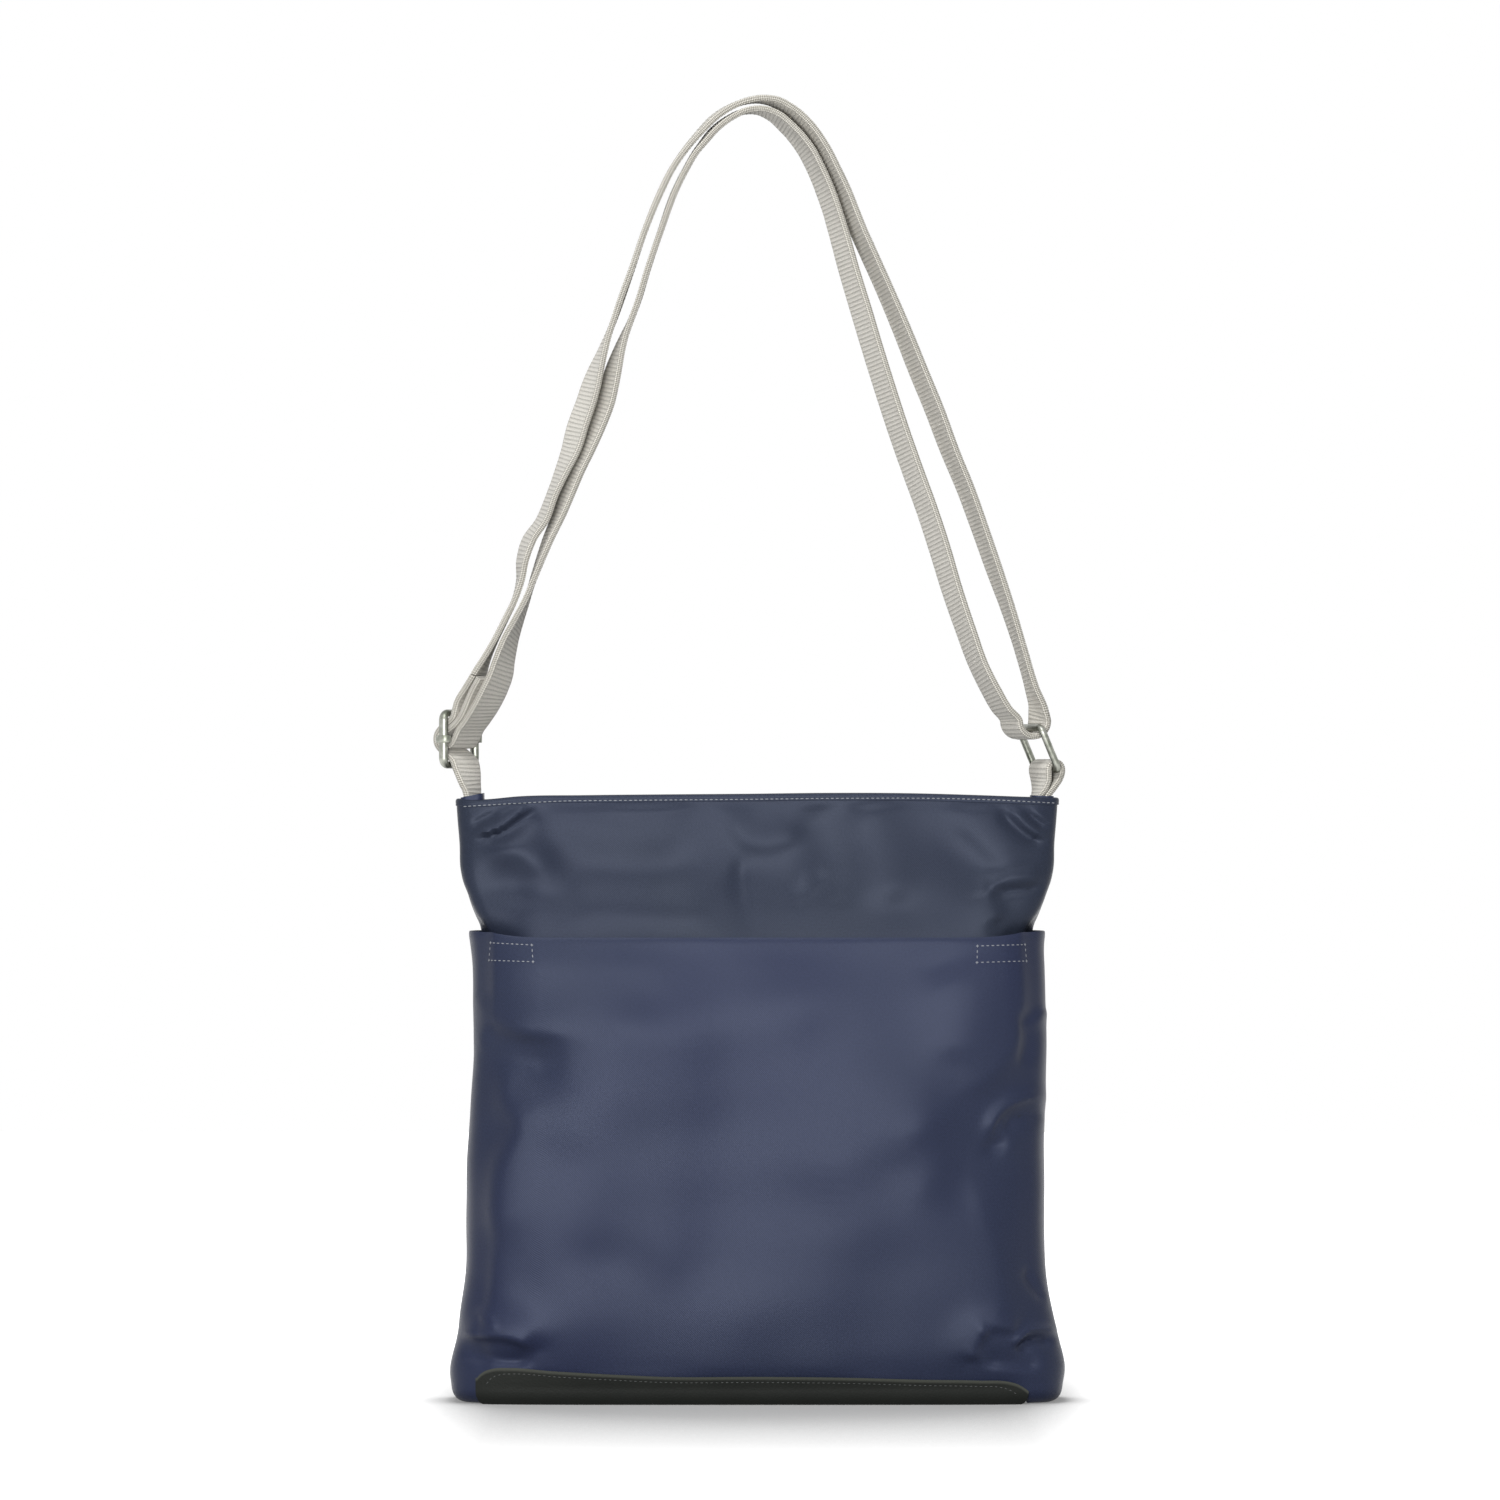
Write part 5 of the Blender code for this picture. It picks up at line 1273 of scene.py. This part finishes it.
# %% [markdown]
# Where the strap crosses a joint the webbing has to bend, so it is made in stretches that meet
# edge to edge: at the bag's corners, where the strap meets the adjuster, and where it meets the
# ring.

# %% The strap's pieces
route = tail_foot + tail_low + tail_cross + tail_high + stations(TAIL_HEAD_PX) + run
webs = sweep_frames(route)


def way_at(index):
    """How far along the dense route a station lies."""
    place = webs["stations"]
    return float(np.interp(place[index], np.linspace(0, place[-1], len(webs["at"])), webs["at"]))


def last_before(way):
    """The last dense place up to here."""
    return float(webs["at"][webs["at"] <= way + TINY][-1])


middle = len(tail_foot) + len(tail_low) + ARC_STEPS // 2
root_end = last_before(way_at(len(tail_foot)))
cross_middle = last_before(way_at(middle) / 2 + way_at(middle + 1) / 2)
tail_end = way_at(len(route) - len(run) - 1)
tail_root, tail_low_piece, tail_high_piece, run_piece = [
    webbing_piece(name, webs, low, high) for name, low, high in (
        ("webbing_tail_root", 0.0, root_end), ("webbing_tail_low", root_end, cross_middle),
        ("webbing_tail_high", cross_middle, tail_end), ("webbing_run", tail_end, webs["at"][-1]))]
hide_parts("strap_tail")
fit(run_piece, "webbing", "strap", "strap_run")
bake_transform(tail_root)
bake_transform(tail_low_piece)
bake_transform(tail_high_piece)
print("webbing", [round(v, 4) for v in (root_end, cross_middle, tail_end, webs["at"][-1])])

# %% The ring's tab
LEG_END = 2
legs = [(station(p), p[4] * PIXEL) for p in TAB_LEGS_PX]
tab = [np.append(s[:3] - face_way(s[3]) * half, s[3]) for s, half in legs]
tab += bent(ring_low, WEB_ROUND_END, steps(math.pi, 0, 2 * ARC_STEPS), RING_TURN)
tab += [np.append(s[:3] + face_way(s[3]) * half, s[3]) for s, half in reversed(legs)]
tab_frames = sweep_frames(tab)
tab_at = tab_frames["at"]
cuts = [0.0] + [float(tab_at[np.abs(tab_at - tab_frames["stations"][k]).argmin()])
                for k in (LEG_END, len(tab) - LEG_END - 1)] + [tab_at[-1]]
tab_pieces = [webbing_piece(f"ring_tab_{word}", tab_frames, cuts[k], cuts[k + 1])
              for k, word in enumerate(("inner", "loop", "outer"))]
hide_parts("ring_tab")
for piece in tab_pieces[::2]:
    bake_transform(piece)
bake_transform(tab_pieces[1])
print("tab", [len(p.data.polygons) for p in tab_pieces], "faces")

# %% [markdown]
# The metal pieces are bent wire and small castings of dull pewter. A loop of wire is a circle
# swept round a rounded rectangle; the cross bar and its two collars are turned pieces, so each
# outline is spun round its own axis.


# %% The metal's finish
PATCH_EDGES = (0.38, 0.62)
SCRATCH_DEPTH, SCRATCH_BUMP = 0.00003, 0.35


def metal_finish(name, bright, dull, low, high, metallic=1.0):
    """Tumbled pewter: a grey that goes dull in patches, and fine scratches in its shine."""
    material, tree, shader = blank_finish(name)
    place = object_place(tree)
    patch = noise(tree, place, scale=160.0, detail=4.0)
    fine = noise(tree, place, scale=2400.0)
    surface(tree, shader, fine, SCRATCH_DEPTH, SCRATCH_BUMP, {
        "Base Color": mix(tree, remap(tree, patch, 0, 1, *PATCH_EDGES), bright, dull),
        "Roughness": remap(tree, patch, low, high), "Metallic": metallic})
    return material


pewter = metal_finish("dull_pewter", (0.34, 0.345, 0.31), (0.15, 0.16, 0.13), 0.30, 0.48)
print("finish", pewter.name)

# %% Wire loops and turned pieces
WIRE_SIDES = 20
CORNER_STEPS = 9
COLLAR_HEIGHT = 0.0037
COLLAR_OVAL = 1.4
COLLAR_WALL = 0.0009
SIDE_BAR_OVAL = 1.3
SLIDE_CLEARANCE = 0.0002
EDGE_CLEARANCE = 0.0007
RIM = 0.00025


def skin_of_rings(name, rings, closed, smooth=40):
    """Metal through rings of points. An open run of rings is closed with a face at each end."""
    count, sides = rings.shape[:2]
    faces = quads(count, sides, round_columns=True, round_rows=closed).tolist()
    if not closed:
        faces.append(tuple(range(sides))[::-1])
        faces.append(tuple((count - 1) * sides + k for k in range(sides)))
    piece = make_piece(name, rings.reshape(-1, 3), faces, pewter, smooth=smooth)
    work = bmesh.new()
    work.from_mesh(piece.data)
    bmesh.ops.recalc_face_normals(work, faces=work.faces)
    work.to_mesh(piece.data)
    work.free()
    smooth_shade(piece.data, smooth)
    return piece


def corner_turns(count):
    """Round a rounded rectangle: the two signs of each corner, and each angle in it."""
    for x, y, quarter in ((1, 1, 0), (-1, 1, 1), (-1, -1, 2), (1, -1, 3)):
        for angle in np.linspace(0, math.pi / 2, count) + quarter * math.pi / 2:
            yield x, y, angle


def wire_loop(name, centre, bar_way, up_way, half_span, half_height, corner, side_oval=1.0):
    """A closed rounded rectangle of wire, whose side bars may be oval."""
    out_way = np.cross(bar_way, up_way)
    round_way = np.linspace(0, TURN, WIRE_SIDES, endpoint=False)[:, None]
    rings = []
    for x, y, angle in corner_turns(CORNER_STEPS):
        hub = centre + bar_way * x * (half_span - corner) + up_way * y * (half_height - corner)
        bend = bar_way * math.cos(angle) + up_way * math.sin(angle)
        oval = 1 + (side_oval - 1) * abs(math.cos(angle))
        way = bend * np.cos(round_way) + out_way * np.sin(round_way) * oval
        rings.append(hub + bend * corner + way * WIRE_RADIUS)
    return skin_of_rings(name, np.stack(rings), closed=True)


def turned_piece(name, start, way, across, outline, closed, sides=28, oval=1.0):
    """A piece turned on a lathe: its outline is places along the axis and radii."""
    other = np.cross(way, across)
    spin = np.linspace(0, TURN, sides, endpoint=False)[:, None]
    rings = [start + way * along + (across * np.cos(spin) + other * np.sin(spin) * oval) * radius
             for along, radius in outline]
    return skin_of_rings(name, np.stack(rings), closed)


bore = WIRE_RADIUS + SLIDE_CLEARANCE
outside = bore + COLLAR_WALL
half_span = WEB_WIDTH / 2 + GAP + bore + COLLAR_WALL
ring_half_span = WEB_WIDTH / 2 + EDGE_CLEARANCE + WIRE_RADIUS
bar_way = edge_way(ADJUSTER_TURN)
frame_wire = wire_loop("adjuster_wire_frame", adjuster_centre, bar_way, up, half_span,
                       ADJUSTER_END_BAR, ADJUSTER_CORNER, SIDE_BAR_OVAL)
ring_wire = wire_loop("wire_ring", ring_centre, ring_bar, ring_up, ring_half_span,
                      RING_HALF_HEIGHT, RING_CORNER)
fit(frame_wire, "pewter_metal", "adjuster_frame", "adjuster_frame")
fit(ring_wire, "pewter_metal", "ring", "ring")

reach = half_span - bore - COLLAR_WALL * 0.5
cross_bar = turned_piece("adjuster_cross_bar", adjuster_centre - bar_way * reach, bar_way, up,
                         [(0, BAR_RADIUS), (2 * reach, BAR_RADIUS)], closed=False)
fit(cross_bar, "pewter_metal", "adjuster_bar", "adjuster_bar")
rise = COLLAR_HEIGHT / 2
upper = [(rise - RIM, outside), (rise - RIM * 0.3, outside - RIM * 0.3), (rise, outside - RIM),
         (rise, bore + RIM), (rise - RIM, bore)]
lower = [(-along, radius) for along, radius in reversed(upper)]
outline = lower[1:] + upper + lower[:1]
for word, side in (("near", 1), ("far", -1)):
    collar = turned_piece(f"adjuster_collar_{word}", adjuster_centre + bar_way * side * half_span,
                          up, bar_way, outline, closed=True, oval=COLLAR_OVAL)
    fit(collar, "pewter_metal", "adjuster_bar")

# %% [markdown]
# Stitches repeat along a seam, so a Geometry Nodes tree lays them. It takes a line drawn on the
# cloth, measures it off at the stitch pitch, and sets one short thread at each mark, turned along
# the seam and facing out of the cloth.

# %% Stitches by rule
STITCH = {"Stitch pitch": 0.0025, "Stitch length": 0.0019, "Thread width": 0.00055,
          "Thread rise": 0.0003}
THREAD_TWIST, TWIST_DEPTH, TWIST_BUMP = 0.0004, 0.00003, 0.5
PROUD = 0.00005


def stitch_tree():
    """A node tree that lays stitches along the lines it is given."""
    tree, enter = open_rule("lay_stitches", STITCH, "Thread")
    along = node(tree, "GeometryNodeInputTangent").outputs[0]
    turn = node(tree, "FunctionNodeAlignRotationToVector", {"Vector": along}, axis="X")
    turn = node(tree, "FunctionNodeAlignRotationToVector",
                {"Rotation": turn.outputs[0], "Vector": field(tree, "out", "FLOAT_VECTOR")},
                axis="Z", pivot_axis="X")
    bead = node(tree, "GeometryNodeMeshUVSphere", {"Segments": 6, "Rings": 5, "Radius": 0.5})
    laid = set_along(tree, enter, bead.outputs["Mesh"], Rotation=turn.outputs[0])
    return close_rule(tree, laid, enter[5], smooth=True)


def thread_finish(name, colour):
    """Twisted thread: a plain colour with fine slanted bumps."""
    material, tree, shader = blank_finish(name)
    place = object_place(tree)
    tone = remap(tree, noise(tree, place, scale=300.0), low=0.75, high=1.25)
    twist = stripes(tree, place, 1 / THREAD_TWIST, 1 / THREAD_TWIST)
    surface(tree, shader, twist, TWIST_DEPTH, TWIST_BUMP, {
        "Base Color": scaled(tree, colour, tone), "Roughness": 0.6, "Specular IOR Level": 0.3})
    return material


lay_stitches = stitch_tree()
grey_thread = thread_finish("grey_thread", (0.23, 0.24, 0.26))
pale_thread = thread_finish("pale_thread", (0.55, 0.53, 0.48))
dark_thread = thread_finish("dark_thread", (0.10, 0.105, 0.105))


def stitched(name, seams, thread, body_name, slot, **sizes):
    """A piece of stitches along seams, each given as points and the ways out of the cloth."""
    verts, edges, ways = [], [], []
    for points, outs in seams:
        edges += [(len(verts) + k, len(verts) + k + 1) for k in range(len(points) - 1)]
        verts += [tuple(map(float, p)) for p in points]
        ways += [tuple(map(float, w)) for w in outs]
    mesh = bpy.data.meshes.new(name)
    mesh.from_pydata(verts, edges, [])
    layer = mesh.attributes.new("out", "FLOAT_VECTOR", "POINT")
    layer.data.foreach_set("vector", np.array(ways, np.float32).ravel())
    sizes = {key.replace("_", " ").capitalize(): value for key, value in sizes.items()}
    piece = run_tree(add_object(name, mesh), lay_stitches, {**STITCH, "Thread": thread, **sizes})
    return fit(piece, slot, body_name)


def landed(piece, spots, from_behind=False, lift=PROUD):
    """Where lines of sight through places on the picture meet a piece, with the ways out."""
    eye = Vector(camera.location)
    places, outs = [], []
    for across, down in spots:
        aim = Vector(((across - CENTRE_COLUMN_PX) * PIXEL, 0, (GROUND_ROW_PX - down) * PIXEL))
        if from_behind:
            hit, spot, way, _ = piece.ray_cast(Vector((aim.x, 1.0, aim.z)), Vector((0, -1, 0)))
        else:
            hit, spot, way, _ = piece.ray_cast(eye, (aim - eye).normalized())
        if hit:
            places.append(np.array(spot) + np.array(way) * lift)
            outs.append(np.array(way))
    return places, outs


def dense_line(start, stop, step_px=2.0):
    """Points evenly spread on a straight line between two places on the picture."""
    (x0, y0), (x1, y1) = start, stop
    count = max(1, int(math.hypot(x1 - x0, y1 - y0) / step_px))
    return [(x0 + (x1 - x0) * k / count, y0 + (y1 - y0) * k / count)
            for k in range(count)] + [stop]


# %% The hem's stitches
HEM_ROW_PX = (
    (461, 806.7), (511, 803.7), (566, 801), (624, 800.4), (740, 799.4), (853, 798.3),
    (935, 798.4), (1000, 800.2), (1057, 803.2),
)
HEM_ENDS_PX = (462, 1056)
row = [(x, float(smooth_read(HEM_ROW_PX, x))) for x in np.arange(*HEM_ENDS_PX, 3.0)]
stitched("hem_stitches", [landed(hem, row), landed(hem, row, from_behind=True)], grey_thread,
         "bag", "shell_nylon")

# %% [markdown]
# A small stitched rectangle tacks the pocket's rim down near each corner, which makes two wide
# side pockets of its ends. The trim has one row of stitches along its edge, front and back.

# %% The box tacks and the trim's seam
TACKS_PX = (((490.5, 942.8), (531.8, 945), (533, 961.7), (489, 960.3)),
            ((977.5, 946), (1025, 944.6), (1026.5, 961), (977, 962.5)))
SEAM_INSET_PX = 5.5
SEAM_ENDS_PX, BACK_SEAM_ENDS_PX, SEAM_LOWEST_PX = (486, 1016), (497, 1017), 1397
stitched("pocket_tacks", [landed(pocket, dense_line(corners[k], corners[(k + 1) % 4]))
                          for corners in TACKS_PX for k in range(4)],
         grey_thread, "bag", "pocket_nylon", stitch_length=0.0017)

edge = curve_through(TRIM_EDGE_PX, 160)
way = unit(np.gradient(edge, axis=0))
inner = edge + np.stack([-way[:, 1], way[:, 0]], axis=1) * SEAM_INSET_PX
inner = [tuple(p) for p in inner
         if SEAM_ENDS_PX[0] < p[0] < SEAM_ENDS_PX[1] and p[1] < SEAM_LOWEST_PX]
back_top = (GROUND_ROW_PX - TRIM_LEG / PIXEL) + SEAM_INSET_PX
back_line = dense_line(*((x, back_top) for x in BACK_SEAM_ENDS_PX))
stitched("trim_stitches", [landed(trim, inner), landed(trim, back_line, from_behind=True)],
         dark_thread, "bag", "base_leather", thread_width=0.0003, thread_rise=0.00018)

# %% The strap's sewn end
SEWN_ROWS_PX = (((491.5, 690.5), (505.3, 690.5)), ((485, 702.8), (498.7, 702.8)))
sewn = [landed(run_piece, dense_line(*ends), lift=2 * PROUD) for ends in SEWN_ROWS_PX]
stitched("strap_end_stitches", [seam for seam in sewn if len(seam[0]) > 2], pale_thread, "strap",
         "webbing", thread_width=0.0005, thread_rise=0.0004)

# %% [markdown]
# The zip lies across the mouth, a little below the hem. Two woven tapes carry two rows of
# moulded teeth; the teeth repeat, so a Geometry Nodes tree sets one at every pitch.

# %% The zip's tapes
ZIP_HEIGHT = 0.292
TAPE_CLOTH = 0.0008
TAPE_EDGE = 0.0026
TAPE_HALF_WIDTH = 0.1258
TAPE_SAG, TAPE_WAVE, TAPE_WAVES = 0.0011, 0.0004, 90
TAPE_ROOM, TAPE_END_SHARE = 0.0006, 0.93


def tape_piece(word, side):
    """One tape, from the lining to the teeth, with a shallow sag between them."""
    across = np.linspace(-1, 1, 90)
    x = across * TAPE_HALF_WIDTH
    deep = BAG_HALF_DEPTH * smooth_read(DEPTH_SHARES, ZIP_HEIGHT / BAG_HEIGHT)
    deep = deep - LINING_EASE - LINING_CLOTH - TAPE_ROOM
    deep = deep * rounding(across * TAPE_END_SHARE, ZIP_HEIGHT)
    rows = []
    for share in np.linspace(0, 1, 12):
        y = side * (TAPE_EDGE + (deep - TAPE_EDGE) * share)
        sag = TAPE_WAVE * np.sin(x * TAPE_WAVES + side) * share
        sag = sag - TAPE_SAG * math.sin(math.pi * share)
        rows.append(np.stack([x, y, ZIP_HEIGHT + TAPE_CLOTH / 2 + sag], axis=-1))
    top = np.stack(rows)[::side]
    tape = cloth_panel(f"zip_tape_weave_{word}", top, top - np.array([0, 0, TAPE_CLOTH]),
                       tape_cloth)
    return fit(tape, "zip_tape", "bag", f"zip_tape_{word}")


for word, side in (("front", -1), ("back", 1)):
    tape_piece(word, side)

# %% The zip's teeth by rule
TOOTH_PITCH = 0.0034
TOOTH = {"Tooth pitch": TOOTH_PITCH * 0.99999, "Tooth width": 0.0013, "Tooth length": 0.0032,
         "Tooth height": 0.0024}
TOOTH_OFF_MIDDLE = 0.0007
CHAIN_END = 0.114596
CHAIN_STOP = 0.111496


def tooth_tree():
    """A node tree that sets a moulded tooth at every pitch along a line."""
    tree, enter = open_rule("set_teeth", TOOTH, "Resin")
    block = node(tree, "GeometryNodeMeshCube", {"Size": (1.0, 1.0, 1.0)})
    tooth = node(tree, "GeometryNodeSubdivisionSurface", {"Mesh": block.outputs[0], "Level": 1,
                                                          "Edge Crease": 0.55})
    return close_rule(tree, set_along(tree, enter, tooth.outputs[0]), enter[5])


resin = metal_finish("dark_tooth_resin", (0.022, 0.026, 0.045), (0.016, 0.018, 0.030), 0.35, 0.5,
                     metallic=0.0)
set_teeth = tooth_tree()
for word, side, ahead in (("front", -1, 0.0), ("back", 1, TOOTH_PITCH / 2)):
    mesh = bpy.data.meshes.new(f"zip_chain_{word}")
    first = -CHAIN_END + TOOTH_PITCH / 2 + ahead
    count = int((CHAIN_STOP - first) / TOOTH_PITCH)
    line = [(first + TOOTH_PITCH * k, side * TOOTH_OFF_MIDDLE, ZIP_HEIGHT)
            for k in range(count + 1)]
    mesh.from_pydata(line, [(k, k + 1) for k in range(count)], [])
    chain = run_tree(add_object(mesh.name, mesh), set_teeth, {**TOOTH, "Resin": resin})
    smooth_shade(chain.data, 35)
    fit(chain, "zip_teeth", "bag", f"zip_teeth_{word}")

# %% [markdown]
# The slider, its pull and the stops already have their shape in the CAD. Copies of them get
# rounded edges, because a cast piece has no sharp one, and that is what catches the light.

# %% Slider, pull and stops
EDGE_ROUND = 0.00022


def rounded_copy(name, old, body_name):
    """A copy of a CAD piece with its loose triangles joined and its edges rounded."""
    source = bpy.data.objects[old]
    mesh = source.data.copy()
    mesh.transform(source.matrix_world)
    work = bmesh.new()
    work.from_mesh(mesh)
    bmesh.ops.remove_doubles(work, verts=work.verts, dist=1e-6)
    bmesh.ops.dissolve_limit(work, angle_limit=math.radians(1), verts=work.verts,
                             edges=work.edges)
    work.to_mesh(mesh)
    work.free()
    mesh.materials.clear()
    mesh.materials.append(pewter)
    mesh.name = name
    smooth_shade(mesh, 50)
    piece = add_object(name, mesh)
    round_edges(piece, EDGE_ROUND, 2)
    return fit(piece, "pewter_metal", body_name, old)


for name, old, body_name in (
    ("slider_body", "zip_slider", "zip_slider"), ("slider_pull", "zip_pull", "zip_pull"),
    ("left_stop", "zip_stop_left", "bag"), ("right_stop_front", "zip_stop_right_front", "bag"),
    ("right_stop_back", "zip_stop_right_back", "bag"),
):
    rounded_copy(name, old, body_name)

# %% [markdown]
# Each end of the zip is closed by a folded tab of the shell's cloth, wrapped round the webbing
# where it is sewn in. It is a short tube of cloth, pressed flat.

# %% The end tabs
TAB_CLOTH = 0.0011
TAB_CORNER = 0.003
TAB_PUFF = 0.02
TAB_HALF_SIZE = np.array([0.0056, 0.0152])
TAB_LOW = 0.288


def end_tab(word, middle_x, high, slope):
    """A flattened tube of cloth round the root of the webbing."""
    loop = np.array([np.array([x, y]) * (TAB_HALF_SIZE - TAB_CORNER)
                     + TAB_CORNER * np.array([math.cos(angle), math.sin(angle)])
                     for x, y, angle in corner_turns(6)])
    grids = []
    for ring in (loop, loop * ((TAB_HALF_SIZE - TAB_CLOTH) / TAB_HALF_SIZE)):
        rows = []
        for share in np.linspace(0, 1, 8):
            level = TAB_LOW + (high - TAB_LOW + slope * ring[:, 0]) * share
            puff = 1 + TAB_PUFF * math.sin(math.pi * share)
            rows.append(np.stack([middle_x + ring[:, 0] * puff, ring[:, 1] * puff, level],
                                 axis=-1))
        grids.append(np.stack(rows))
    tab_piece = cloth_panel(f"end_tab_cloth_{word}", *grids, pocket_nylon, wrap=True)
    return fit(tab_piece, "shell_nylon", "bag", f"zip_end_tab_{word}")


# word, middle, height, slope of the top
for tab_size in (("left", -0.1422, 0.3024, 0.20), ("right", 0.1424, 0.3022, -0.04)):
    end_tab(*tab_size)
